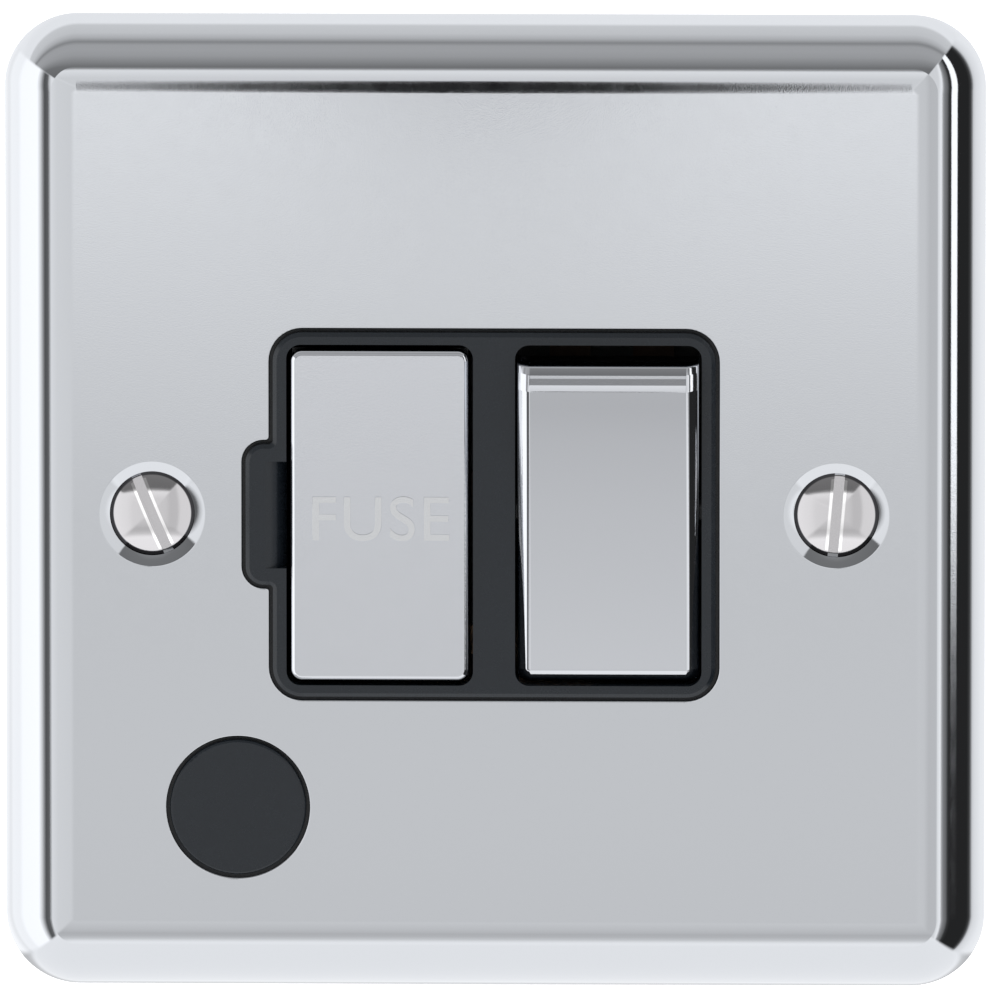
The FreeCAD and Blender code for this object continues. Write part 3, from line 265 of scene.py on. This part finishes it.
# Shader graphs
class Graph:
    """Adds and links shader nodes, so that a material reads from top to bottom."""

    def __init__(self, tree):
        self.tree = tree

    def add(self, kind, settings=None, **inputs):
        node = self.tree.nodes.new(kind)
        for name, value in (settings or {}).items():
            setattr(node, name, value)
        for name, value in inputs.items():
            self.feed(node, name.replace("_", " "), value)
        return node

    def feed(self, node, name, value):
        """Link a socket to an input, which is given by its name or place, or set a plain value."""
        socket = node.inputs[name]
        if isinstance(value, bpy.types.NodeSocket):
            self.tree.links.new(value, socket)
        else:
            socket.default_value = value

    def maths(self, operation, *values):
        node = self.add("ShaderNodeMath", {"operation": operation})
        for place, value in enumerate(values):
            self.feed(node, place, value)
        return node.outputs[0]

    def within(self, value, low, high, soft):
        """1 where the value is between low and high, falling to 0 over a soft edge."""
        smooth = {"interpolation_type": "SMOOTHSTEP"}
        rise = self.add(
            "ShaderNodeMapRange", smooth, Value=value, From_Min=low - soft, From_Max=low + soft,
        )
        drop = self.add(
            "ShaderNodeMapRange", smooth, Value=value, From_Min=high + soft, From_Max=high - soft,
        )
        return self.maths("MULTIPLY", rise.outputs[0], drop.outputs[0])

    def blend(self, amount, a, b):
        """a where the amount is 0 and b where it is 1, for plain numbers or sockets."""
        node = self.add("ShaderNodeMix", {"data_type": "FLOAT"})
        for place, value in ((0, amount), (2, a), (3, b)):
            self.feed(node, place, value)
        return node.outputs[0]

    def blend_colour(self, amount, a, b):
        """Colour a where the amount is 0 and colour b where it is 1."""
        node = self.add("ShaderNodeMix", {"data_type": "RGBA"})
        for place, value in ((0, amount), (6, a), (7, b)):
            self.feed(node, place, value)
        return node.outputs[2]

    def curve(self, value, stops):
        """A number that runs through (place, number) stops, with straight runs between them."""
        low, high = stops[0][0], stops[-1][0]
        top = max(number for _, number in stops)
        place = self.add("ShaderNodeMapRange", Value=value, From_Min=low, From_Max=high)
        ramp = self.add("ShaderNodeValToRGB", Fac=place.outputs[0])
        marks = ramp.color_ramp.elements
        while len(marks) < len(stops):
            marks.new(0.5)
        for mark, (at, number) in zip(marks, stops):
            mark.position = (at - low) / (high - low)
            mark.color = (number / top,) * 3 + (1,)
        grey = self.add("ShaderNodeSeparateColor", Color=ramp.outputs[0])
        return self.maths("MULTIPLY", grey.outputs[0], top)


def surface(name, colour, metallic, roughness, spread, grain, bump, mottle, **sockets):
    """A material whose roughness, relief and tone vary with a fine grain, in object space."""
    material = bpy.data.materials.new(name)
    material.use_nodes = True
    graph = Graph(material.node_tree)
    shader = material.node_tree.nodes["Principled BSDF"]
    shader.inputs["Metallic"].default_value = metallic
    for socket, value in sockets.items():
        graph.feed(shader, socket.replace("_", " "), value)
    place = graph.add("ShaderNodeTexCoord").outputs["Object"]
    fine = graph.add("ShaderNodeTexNoise", Vector=place, Scale=grain, Detail=4.0).outputs[0]
    broad = graph.add(
        "ShaderNodeTexNoise", Vector=place, Scale=grain / BROAD_GRAIN, Detail=2.0,
    ).outputs[0]
    both = graph.maths("MULTIPLY_ADD", broad, 0.5, graph.maths("MULTIPLY", fine, 0.5))
    rough = graph.add(
        "ShaderNodeMapRange", Value=both, From_Min=NOISE_SPAN[0], From_Max=NOISE_SPAN[1],
        To_Min=roughness - spread, To_Max=roughness + spread,
    )
    graph.feed(shader, "Roughness", rough.outputs[0])
    relief = graph.add("ShaderNodeBump", Height=fine, Strength=bump, Distance=RELIEF * MM)
    graph.feed(shader, "Normal", relief.outputs[0])
    if mottle:
        tone = graph.add("ShaderNodeValToRGB", Fac=broad)
        tone.color_ramp.elements[0].color = (*[c * (1 - mottle) for c in colour], 1)
        tone.color_ramp.elements[1].color = (*[min(1, c * (1 + mottle)) for c in colour], 1)
        graph.feed(shader, "Base Color", tone.outputs[0])
    else:
        shader.inputs["Base Color"].default_value = (*colour, 1)
    return material


# Colour, metallic, roughness and its spread, grains per metre, bump and mottle of each finish
FINISHES = {
    "polished_plate": ((0.546, 0.563, 0.592), 1.0, 0.035, 0.012, 9000, 0.012, 0.0),
    "polished_cap": ((0.550, 0.565, 0.597), 1.0, 0.055, 0.015, 7000, 0.015, 0.0),
    "polished_screw": ((0.580, 0.570, 0.585), 1.0, 0.08, 0.02, 8000, 0.02, 0.0),
    "polished_letter": ((0.575, 0.585, 0.602), 1.0, 0.09, 0.02, 7000, 0.02, 0.0),
    "plated_steel": ((0.62, 0.62, 0.60), 1.0, 0.24, 0.06, 9000, 0.08, 0.05),
    "brass": ((0.78, 0.60, 0.30), 1.0, 0.26, 0.06, 6000, 0.06, 0.08),
    "copper_alloy": ((0.50, 0.34, 0.22), 1.0, 0.36, 0.07, 5000, 0.06, 0.10),
    # Painted shade: a near-black alloy for the contacts deep in the rocker's well
    "well_shade_alloy": ((0.085, 0.060, 0.048), 1.0, 0.50, 0.07, 5000, 0.06, 0.10),
    "spring_steel": ((0.40, 0.40, 0.41), 1.0, 0.30, 0.06, 9000, 0.05, 0.0),
    "fuse_metal": ((0.70, 0.68, 0.62), 1.0, 0.22, 0.05, 8000, 0.05, 0.04),
    "fuse_ceramic": ((0.86, 0.83, 0.75), 0.0, 0.55, 0.08, 5000, 0.12, 0.03),
    "black_plastic": ((0.008, 0.011, 0.015), 0.0, 0.26, 0.05, 12000, 0.08, 0.10),
    "base_plastic": ((0.030, 0.031, 0.033), 0.0, 0.42, 0.06, 9000, 0.10, 0.06),
    "plunger_plastic": ((0.72, 0.69, 0.60), 0.0, 0.40, 0.05, 9000, 0.08, 0.03),
}
SPECULAR = {"black_plastic": {"Specular_IOR_Level": 0.34}}
MATERIALS = {
    name: surface(name, *finish, **SPECULAR.get(name, {})) for name, finish in FINISHES.items()
}


def paint_screw_shade_and_highlights(material):
    """Paint a dark ring of shade and reflection on the rims of both screws' heads, painted shade in
    their slots and painted highlights along the slots' edges.
    """
    graph = Graph(material.node_tree)
    shader = material.node_tree.nodes["Principled BSDF"]
    place = graph.add("ShaderNodeTexCoord").outputs["Object"]
    x, y, z = graph.add("ShaderNodeSeparateXYZ", Vector=place).outputs
    across = graph.maths("SUBTRACT", graph.maths("ABSOLUTE", x), FIXING_X * MM)
    radius = graph.maths(
        "SQRT", graph.maths("ADD", graph.maths("POWER", across, 2.0), graph.maths("POWER", z, 2.0))
    )
    radius = graph.maths("DIVIDE", radius, MM)
    depth = graph.maths("DIVIDE", graph.maths("SUBTRACT", y, SCREW_LOW.y * MM), MM)
    # Painted shade and dark reflection: a dark ring round the rim of each head
    rim = graph.within(radius, HEAD_RIM, BEYOND_SCREW, HEAD_RIM_BLUR)
    # Painted shade: the slot's floor is darker below a set depth
    slot = graph.within(depth, SLOT_SHADE, BEYOND_SCREW, SLOT_BLUR)
    tone = graph.maths(
        "MULTIPLY", graph.blend(rim, 1.0, HEAD_RIM_PAINTED_SHADE), graph.blend(slot, 1.0, SLOT_PAINTED_SHADE),
    )

    # How far a point lies from the middle line of its own screw's slot
    right = graph.maths("GREATER_THAN", x, 0.0)
    lean = graph.blend(right, math.radians(LEFT_SLOT_LEAN), math.radians(RIGHT_SLOT_LEAN))
    middle = graph.blend(right, -FIXING_X, FIXING_X)
    along_x = graph.maths("SUBTRACT", graph.maths("DIVIDE", x, MM), middle)
    along_z = graph.maths("DIVIDE", z, MM)
    aside = graph.maths("ABSOLUTE", graph.maths(
        "SUBTRACT",
        graph.maths("MULTIPLY", along_x, graph.maths("COSINE", lean)),
        graph.maths("MULTIPLY", along_z, graph.maths("SINE", lean)),
    ))
    # Painted highlight: near-white strips along both edges of each slot, stopping short of the head's
    # rim
    outer = SLOT_HALF_WIDTH + PAINTED_HIGHLIGHT_WIDTH
    edge = graph.maths(
        "MULTIPLY", graph.within(aside, SLOT_HALF_WIDTH, outer, SLOT_BLUR),
        graph.within(radius, -1.0, HEAD_RIM - PAINTED_HIGHLIGHT_END, SLOT_BLUR),
    )
    colour = shader.inputs["Base Color"].default_value[:]
    highlighted_colour = graph.blend_colour(edge, colour, PAINTED_HIGHLIGHT_COLOUR)
    graph.feed(shader, "Base Color", graph.blend_colour(tone, (0.0, 0.0, 0.0, 1.0), highlighted_colour))


def dress_nodes():
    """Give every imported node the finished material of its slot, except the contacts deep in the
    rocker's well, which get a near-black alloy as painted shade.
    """
    for part in frame["record"]["subparts"]:
        item = NODES[part["node"]]
        finish = "well_shade_alloy" if part["node"] in SHADED_NODES else part["material_slot"]
        item.data.materials.clear()
        item.data.materials.append(MATERIALS[finish])


# Mesh building
def rounded_loop(corners, steps):
    """Points and outward normals round a polygon given anticlockwise as (x, z, radius)."""
    loop = []
    count = len(corners)
    for i, (x, z, radius) in enumerate(corners):
        here = Vector((x, z))
        before = (Vector(corners[i - 1][:2]) - here).normalized()
        after = (Vector(corners[(i + 1) % count][:2]) - here).normalized()
        half_angle = before.angle(after) / 2
        turn = before.x * after.y - before.y * after.x
        outside = 1 if turn < 0 else -1
        centre = here + (before + after).normalized() * (radius / math.sin(half_angle))
        start = Vector((-before.y, before.x))
        swing = math.pi - 2 * half_angle
        for k in range(steps + 1):
            angle = swing * k / steps * outside
            normal = Vector((
                start.x * math.cos(angle) - start.y * math.sin(angle),
                start.x * math.sin(angle) + start.y * math.cos(angle),
            ))
            loop.append((centre + normal * (radius * outside), normal))
    return loop


def round_loop(x, z, radius):
    """Points and outward normals round a circle, anticlockwise."""
    loop = []
    for k in range(ROUND_STEPS):
        angle = 2 * math.pi * k / ROUND_STEPS
        normal = Vector((math.cos(angle), math.sin(angle)))
        loop.append((Vector((x, z)) + normal * radius, normal))
    return loop


def shifted(loop, shift):
    """The points of a loop moved along its outward normals."""
    return [point + normal * shift for point, normal in loop]


class Skin:
    """Gathers patches of faces with exact normals into one mesh."""

    def __init__(self):
        self.points, self.normals, self.faces = [], [], []

    def sweep(self, loop, stations, inward=False):
        """Skin between stations of (outward shift, depth, tilt of the normal from the front)."""
        first = len(self.points)
        sign = -1 if inward else 1
        for shift, depth, tilt in stations:
            lean, level = sine(tilt), cosine(tilt)
            for point, normal in loop:
                at = point + normal * shift
                self.points.append((at.x * MM, depth * MM, at.y * MM))
                self.normals.append((normal.x * lean * sign, -level, normal.y * lean * sign))
        count = len(loop)
        for row in range(len(stations) - 1):
            for k in range(count):
                a = first + row * count + k
                b = first + row * count + (k + 1) % count
                self.face(a, b, b + count, a + count)

    def flat(self, outer, holes, depth, front=True):
        """A flat sheet between an outer loop and the holes in it."""
        loops = [outer] + holes
        first = len(self.points)
        for points in loops:
            for at in points:
                self.points.append((at.x * MM, depth * MM, at.y * MM))
                self.normals.append((0, -1 if front else 1, 0))
        flat_loops = [[Vector((at.x, at.y, 0)) for at in points] for points in loops]
        for a, b, c in tessellate_polygon(flat_loops):
            self.face(first + a, first + b, first + c)

    def dome(self, across, along, place):
        """A front that falls away from its middle both ways, by (place, depth, slope) stations."""
        first = len(self.points)
        for z, depth_z, slope_z in along:
            for x, depth_x, slope_x in across:
                level = Vector((x, depth_x + depth_z, z))
                at, facing = place(level, Vector((slope_x, -1, slope_z)))
                self.points.append(tuple(at * MM))
                self.normals.append(tuple(facing))
        wide = len(across)
        for row in range(len(along) - 1):
            for k in range(wide - 1):
                a = first + row * wide + k
                self.face(a, a + 1, a + wide + 1, a + wide)

    def wall(self, points, facing, back_y, place):
        """A wall that faces one way, from each of the points straight back to one depth."""
        first = len(self.points)
        for point in points:
            for depth in (point.y, back_y):
                at, normal = place(Vector((point.x, depth, point.z)), facing)
                self.points.append(tuple(at * MM))
                self.normals.append(tuple(normal))
        for k in range(len(points) - 1):
            a = first + 2 * k
            self.face(a, a + 1, a + 3, a + 2)

    def face(self, *corners):
        """A face turned so that its winding agrees with its normals."""
        a, b, c = (Vector(self.points[k]) for k in corners[:3])
        facing = (b - a).cross(c - a)
        wanted = sum((Vector(self.normals[k]) for k in corners), Vector())
        self.faces.append(corners if facing.dot(wanted) >= 0 else corners[::-1])

    def make(self, name, material):
        mesh = bpy.data.meshes.new(name)
        mesh.from_pydata(self.points, [], self.faces)
        mesh.shade_smooth()
        mesh.normals_split_custom_set_from_vertices(self.normals)
        mesh.materials.append(material)
        return new_object(name, mesh)


def arc_stations(start, end, steps, radius, centre_shift, centre_depth):
    """Stations round an arc of a section, from one tilt of its normal to another."""
    tilts = [start + (end - start) * k / steps for k in range(steps + 1)]
    return [
        (centre_shift + radius * sine(tilt), centre_depth - radius * cosine(tilt), tilt)
        for tilt in tilts
    ]


def edge_stations(end, steps):
    """Stations round the fine edge of a hole, from the plate's face to the tilt inside it."""
    tilts = [end * k / steps for k in range(steps + 1)]
    return [
        (HOLE_EDGE * (1 - sine(tilt)), FACE_Y + HOLE_EDGE * (1 - cosine(tilt)), tilt)
        for tilt in tilts
    ]


def insert_hole():
    """The opening for the black insert, with the narrower one for its lever tab on the left."""
    w, h, r = INSERT_HALF_WIDTH, INSERT_HALF_HEIGHT, INSERT_CORNER
    left, t, q = -w - TAB_REACH, TAB_HALF_HEIGHT, TAB_CORNER
    return rounded_loop([
        (w, -h, r), (w, h, r), (-w, h, r), (-w, t, TAB_CROOK), (left, t, q), (left, -t, q),
        (-w, -t, TAB_CROOK), (-w, -h, r),
    ], HOLE_STEPS)


def add_rim(skin, edge, flat_shift, back):
    """The plate's curved rim, its crease and the cushion inside that, with the backs of both."""
    chord = math.hypot(RIM_WIDTH, RIM_DEPTH)
    slope = math.degrees(math.atan2(RIM_DEPTH, RIM_WIDTH))
    half_turn = math.degrees(math.asin(chord / 2 / RIM_RADIUS))
    outer, crease = slope + half_turn, slope - half_turn
    centre = (-RIM_RADIUS * sine(outer), RIM_RADIUS * cosine(outer))
    rim = arc_stations(outer, crease, RIM_STEPS, RIM_RADIUS, *centre)
    drop = -RIM_DEPTH - FACE_Y
    tilt = math.degrees(2 * math.atan2(drop, CUSHION_WIDTH))
    radius = CUSHION_WIDTH / sine(tilt)
    cushion = arc_stations(tilt, 0, CUSHION_STEPS, radius, flat_shift, FACE_Y + radius)
    inner_rim = [
        (shift - SHEET * sine(tilt), depth + SHEET * cosine(tilt), tilt + 180)
        for shift, depth, tilt in rim
    ]
    inner_rim[0] = (-SHEET, 0.0, outer + 180)
    skin.sweep(edge, rim)
    skin.sweep(edge, [rim[-1], cushion[0]])
    skin.sweep(edge, cushion)
    skin.sweep(edge, inner_rim)
    skin.sweep(edge, [(0, 0, 180), (-SHEET, 0, 180)])
    skin.sweep(edge, [inner_rim[-1], (flat_shift, back, 180)])


def add_dish(skin, dish, back):
    """A screw's dish through the plate, and how far its cone spreads at the plate's back."""
    depth = DISH_RADIUS - DISH_HOLE
    floor_y = FACE_Y + depth
    behind = SHEET * math.sqrt(2)
    slant = floor_y - back
    ledge = DISH_RADIUS - DISH_STEP
    ledge_y = FACE_Y + ledge * slope_of(DISH_SLOPE)
    lip = edge_stations(DISH_SLOPE, 3)
    step = [(-ledge, ledge_y, DISH_STEP_TILT), (-ledge, FACE_Y + ledge, DISH_STEP_TILT)]
    cone = [(-ledge, FACE_Y + ledge, DISH_CONE_TILT), (-depth, floor_y, DISH_CONE_TILT)]
    skin.sweep(dish, lip, inward=True)
    skin.sweep(dish, [lip[-1], (-ledge, ledge_y, DISH_SLOPE + DISH_LEDGE_TURN)], inward=True)
    skin.sweep(dish, step, inward=True)
    skin.sweep(dish, cone, inward=True)
    skin.sweep(dish, [(-depth, floor_y, 180), (behind - depth, floor_y, 180)])
    reach, back_tilt = behind - depth + slant, 180 - DISH_CONE_TILT
    skin.sweep(dish, [(behind - depth, floor_y, back_tilt), (reach, back, back_tilt)])
    return reach


def make_plate():
    """The pressed plate: a curved rim, a narrow cushion inside its crease, a flat and its holes."""
    h, r = PLATE_HALF, PLATE_CORNER
    edge = rounded_loop([
        (-h, PLATE_UP - h, r), (h, PLATE_UP - h, r), (h, PLATE_UP + h, r), (-h, PLATE_UP + h, r),
    ], PLATE_STEPS)
    flat_shift = -RIM_WIDTH - CUSHION_WIDTH
    back = FACE_Y + SHEET
    skin = Skin()
    add_rim(skin, edge, flat_shift, back)

    opening = insert_hole()
    outlet = round_loop(OUTLET.x, OUTLET.y, OUTLET_RADIUS)
    dishes = [round_loop(side * FIXING_X, 0, DISH_RADIUS) for side in (-1, 1)]
    for hole in (opening, outlet):
        skin.sweep(hole, edge_stations(90, 4), inward=True)
        skin.sweep(hole, [(0, FACE_Y + HOLE_EDGE, 90), (0, back, 90)], inward=True)
    reaches = [add_dish(skin, dish, back) for dish in dishes]
    front_holes = [shifted(hole, HOLE_EDGE) for hole in (opening, outlet, *dishes)]
    skin.flat(shifted(edge, flat_shift), front_holes, FACE_Y)
    back_holes = [shifted(opening, 0), shifted(outlet, 0)]
    back_holes += [shifted(dish, reach) for dish, reach in zip(dishes, reaches)]
    skin.flat(shifted(edge, flat_shift), back_holes, back, front=False)
    plate = skin.make("plate_shell", MATERIALS["polished_plate"])
    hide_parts("front_plate")
    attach(plate, "housing")


def fall(stops, side):
    """Stations (place, depth, slope) on one side of a middle, from (place, tilt) stops."""
    stations, depth = [], 0.0
    for k, (place, tilt) in enumerate(stops):
        if k:
            before, tilt_before = stops[k - 1]
            depth += (place - before) * slope_of((tilt + tilt_before) / 2)
        stations.append((side * place, depth, side * slope_of(tilt)))
    return stations


def make_fuse_cap():
    """The fuse carrier's cap: a flat front with a rolled edge and short sides."""
    middle, half = (CAP_LOW + CAP_HIGH) / 2, (CAP_HIGH - CAP_LOW) / 2
    left, right = middle.x - half.x, middle.x + half.x
    low, high = middle.z - half.z, middle.z + half.z
    corners = [(left, low), (right, low), (right, high), (left, high)]
    loop = rounded_loop([(x, z, CAP_CORNER) for x, z in corners], CAP_STEPS)
    front, back = CAP_LOW.y, CAP_HIGH.y
    rolled = [
        (place - CAP_EDGE, front + depth, tilt)
        for (place, depth, _), (_, tilt) in zip(fall(CAP_ROLL, 1), CAP_ROLL)
    ]
    skin = Skin()
    skin.flat(shifted(loop, -CAP_EDGE), [], front)
    skin.sweep(loop, rolled)
    skin.sweep(loop, [(0, rolled[-1][1], 90), (0, back, 90)])
    skin.flat(shifted(loop, 0), [], back, front=False)
    cap = skin.make("fuse_cap_shell", MATERIALS["polished_cap"])
    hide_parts("fuse_carrier_cap")
    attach(cap, "fuse_drawer")


def make_rocker_cap():
    """The rocker's cap: a slightly hollow front, a folded crest and bands that fall to its skirt."""
    centre_x = (ROCKER_LOW.x + ROCKER_HIGH.x) / 2
    c, s = cosine(ROCKER_TILT), sine(ROCKER_TILT)

    def place(at, facing):
        """A point and a normal of the level rocker, once it is tilted on its pivot."""
        turned = Vector((centre_x + at.x, at.y * c - at.z * s + ROCKER_PIVOT_Y, at.y * s + at.z * c))
        normal = Vector((facing.x, facing.y * c - facing.z * s, facing.y * s + facing.z * c))
        return turned, normal.normalized()

    across = fall(ROCKER_SIDE, -1)[:0:-1] + fall(ROCKER_SIDE, 1)
    along = [
        (z, ROCKER_FACE_Y + depth, slope)
        for z, depth, slope in fall(ROCKER_LOWER, -1)[:0:-1] + fall(ROCKER_UPPER, 1)
    ]
    skin = Skin()
    skin.dome(across, along, place)
    for x, depth, _ in (across[0], across[-1]):
        side = [Vector((x, y + depth, z)) for z, y, _ in along]
        skin.wall(side, Vector((math.copysign(1, x), 0, 0)), ROCKER_SKIRT_Y, place)
    for z, y, _ in (along[0], along[-1]):
        end = [Vector((x, y + depth, z)) for x, depth, _ in across]
        skin.wall(end, Vector((0, 0, math.copysign(1, z))), ROCKER_SKIRT_Y, place)
    cap = skin.make("rocker_shell", MATERIALS["polished_cap"])
    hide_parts("rocker_cap")
    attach(cap, "rocker_body")


def make_springs():
    """The plungers' springs, copied from their nodes and carried by the rocker."""
    along = Vector((0, cosine(ROCKER_TILT), sine(ROCKER_TILT)))
    pivot = Vector((0, ROCKER_PIVOT_Y, 0))
    for pole in ("line", "neutral"):
        node = f"plunger_spring_{pole}"
        low, high = box_mm(node)
        seat = pivot + along * SPRING_SEAT_Y
        seat.x = (low.x + high.x) / 2
        spring = new_object(f"{pole}_spring_coil", NODES[node].data.copy())
        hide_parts(node)
        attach(spring, "rocker_body")
        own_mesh(spring)


def make_lettering():
    """The word on the fuse carrier's cap, in plain shallow raised letters."""
    words = bpy.data.curves.new("fuse_word", "FONT")
    words.body = "FUSE"
    words.align_x = "CENTER"
    words.align_y = "CENTER"
    words.size = WORD_SIZE * MM
    words.space_character = WORD_SPACING
    words.extrude = WORD_RAISE * MM
    words.bevel_depth = WORD_RAISE * MM
    words.bevel_resolution = 2
    words.resolution_u = 8
    item = new_object("fuse_word", words)
    item.location = Vector(((CAP_LOW.x + CAP_HIGH.x) / 2, CAP_LOW.y - WORD_PROUD, WORD_UP)) * MM
    item.rotation_euler = (math.radians(90), 0, 0)
    item.data.materials.append(MATERIALS["polished_letter"])
    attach(item, "fuse_drawer")


# Studio
def make_camera():
    """A long lens that sees the width of the photograph at the object's face."""
    out = cosine(CAMERA_ELEVATION)
    back = Vector((
        sine(CAMERA_AZIMUTH) * out, -cosine(CAMERA_AZIMUTH) * out, sine(CAMERA_ELEVATION),
    ))
    data = bpy.data.cameras.new("camera")
    data.sensor_width = SENSOR
    data.lens = SENSOR * CAMERA_DISTANCE / VIEW_WIDTH
    data.clip_start, data.clip_end = (distance * MM for distance in CAMERA_CLIP)
    camera = new_object("camera", data)
    camera.location = (AIM + back * CAMERA_DISTANCE) * MM
    camera.rotation_mode = "QUATERNION"
    camera.rotation_quaternion = (-back).to_track_quat("-Z", "Y")
    bpy.context.scene.camera = camera


def make_floor():
    """A plain pale floor under the plate's lower edge."""
    mesh = bpy.data.meshes.new("floor")
    reach, level = FLOOR_REACH * MM, (PLATE_LOW.z - FLOOR_DROP) * MM
    corners = [(-reach, -reach), (reach, -reach), (reach, reach), (-reach, reach)]
    mesh.from_pydata([(x, y, level) for x, y in corners], [], [(0, 1, 2, 3)])
    floor = new_object("floor", mesh)
    material = surface(
        "floor_paper", (0.93, 0.93, 0.93), 0.0, 0.9, 0.05, 300, 0.02, 0.0,
        Emission_Color=(1.0, 1.0, 1.0, 1.0), Emission_Strength=FLOOR_GLOW,
    )
    mesh.materials.append(material)
    floor.visible_glossy = False


def studio_light(graph, x, y, z):
    """How bright the studio is in the direction (x, y, z)."""
    forward = graph.maths("MULTIPLY", y, -1.0)
    degrees = math.degrees(1)
    height = graph.maths("MULTIPLY", graph.maths("ARCTAN2", z, forward), degrees)
    side = graph.maths("MULTIPLY", graph.maths("ARCTAN2", x, forward), degrees)
    away = graph.maths("ABSOLUTE", x)

    # Below and overhead
    on_left = graph.within(side, -180.0, 0.0, MIDDLE_BLUR)
    reach = graph.blend(on_left, RIGHT_CEILING_REACH, LEFT_CEILING_REACH)
    above = graph.maths("SUBTRACT", z, graph.maths("MULTIPLY", away, reach))
    overhead = graph.within(above, 0.0, BEYOND_DOME, CEILING_BLUR)
    light = graph.blend(overhead, graph.curve(z, DOME), graph.curve(height, CEILING))

    # Both sides
    not_above = graph.within(graph.maths("MULTIPLY", above, -1.0), 0.0, BEYOND_DOME, CEILING_BLUR)
    not_below = graph.within(graph.maths("ADD", away, z), 0.0, BEYOND_DOME, BASE_BLUR)
    stripe = graph.maths(
        "MULTIPLY", graph.within(side, *STRIPE, STRIPE_BLUR),
        graph.within(z, STRIPE_FOOT, BEYOND_DOME, STRIPE_FOOT_BLUR),
    )
    right_wall = graph.blend(stripe, graph.curve(side, RIGHT_WALL), STRIPE_LIGHT)
    walls = graph.blend(on_left, right_wall, graph.curve(side, LEFT_WALL))
    light = graph.blend(graph.maths("MULTIPLY", not_above, not_below), light, walls)

    # The figure, as an oval in front only
    wide = graph.maths("DIVIDE", graph.maths("SUBTRACT", x, FIGURE_X), FIGURE_HALF_WIDTH)
    tall = graph.maths("DIVIDE", graph.maths("SUBTRACT", height, FIGURE_UP), FIGURE_HALF_HEIGHT)
    span = graph.maths("ADD", graph.maths("POWER", wide, 2.0), graph.maths("POWER", tall, 2.0))
    ahead = graph.within(forward, 0.0, BEYOND_DOME, FRONT_BLUR)
    figure = graph.maths("MULTIPLY", graph.within(span, -1.0, 1.0, FIGURE_BLUR), ahead)
    return graph.blend(figure, light, FIGURE_LIGHT)


def make_surroundings():
    """A white studio with dark flags that lights the part and is mirrored; behind it all is white."""
    world = bpy.data.worlds.new("studio")
    bpy.context.scene.world = world
    world.use_nodes = True
    world.node_tree.nodes.clear()
    graph = Graph(world.node_tree)
    direction = graph.add("ShaderNodeTexCoord").outputs["Generated"]
    x, y, z = graph.add("ShaderNodeSeparateXYZ", Vector=direction).outputs
    white = (1.0, 1.0, 1.0, 1)
    light = studio_light(graph, x, y, z)
    lamp = graph.add("ShaderNodeBackground", Color=white, Strength=light)
    seen = graph.add("ShaderNodeBackground", Color=white, Strength=1.0)
    path = graph.add("ShaderNodeLightPath")
    mix = graph.add("ShaderNodeMixShader")
    for place, value in enumerate((path.outputs["Is Camera Ray"], lamp.outputs[0], seen.outputs[0])):
        graph.feed(mix, place, value)
    graph.add("ShaderNodeOutputWorld", Surface=mix.outputs[0])


def make_key_light():
    """One large soft light from the upper left front, for the plastics and the floor."""
    data = bpy.data.lights.new("key", "AREA")
    data.shape = "RECTANGLE"
    data.size, data.size_y = (length * MM for length in KEY_SIZE)
    data.energy = KEY_WATTS
    key = new_object("key", data)
    key.location = Vector(KEY_PLACE) * MM
    key.rotation_mode = "QUATERNION"
    key.rotation_quaternion = (-Vector(key.location)).to_track_quat("-Z", "Y")
    key.visible_glossy = False


make_camera()
paint_screw_shade_and_highlights(MATERIALS["polished_screw"])
dress_nodes()
make_plate()
make_fuse_cap()
make_rocker_cap()
make_springs()
make_lettering()
make_floor()
make_surroundings()
make_key_light()
bpy.context.scene.view_settings.view_transform = "Standard"
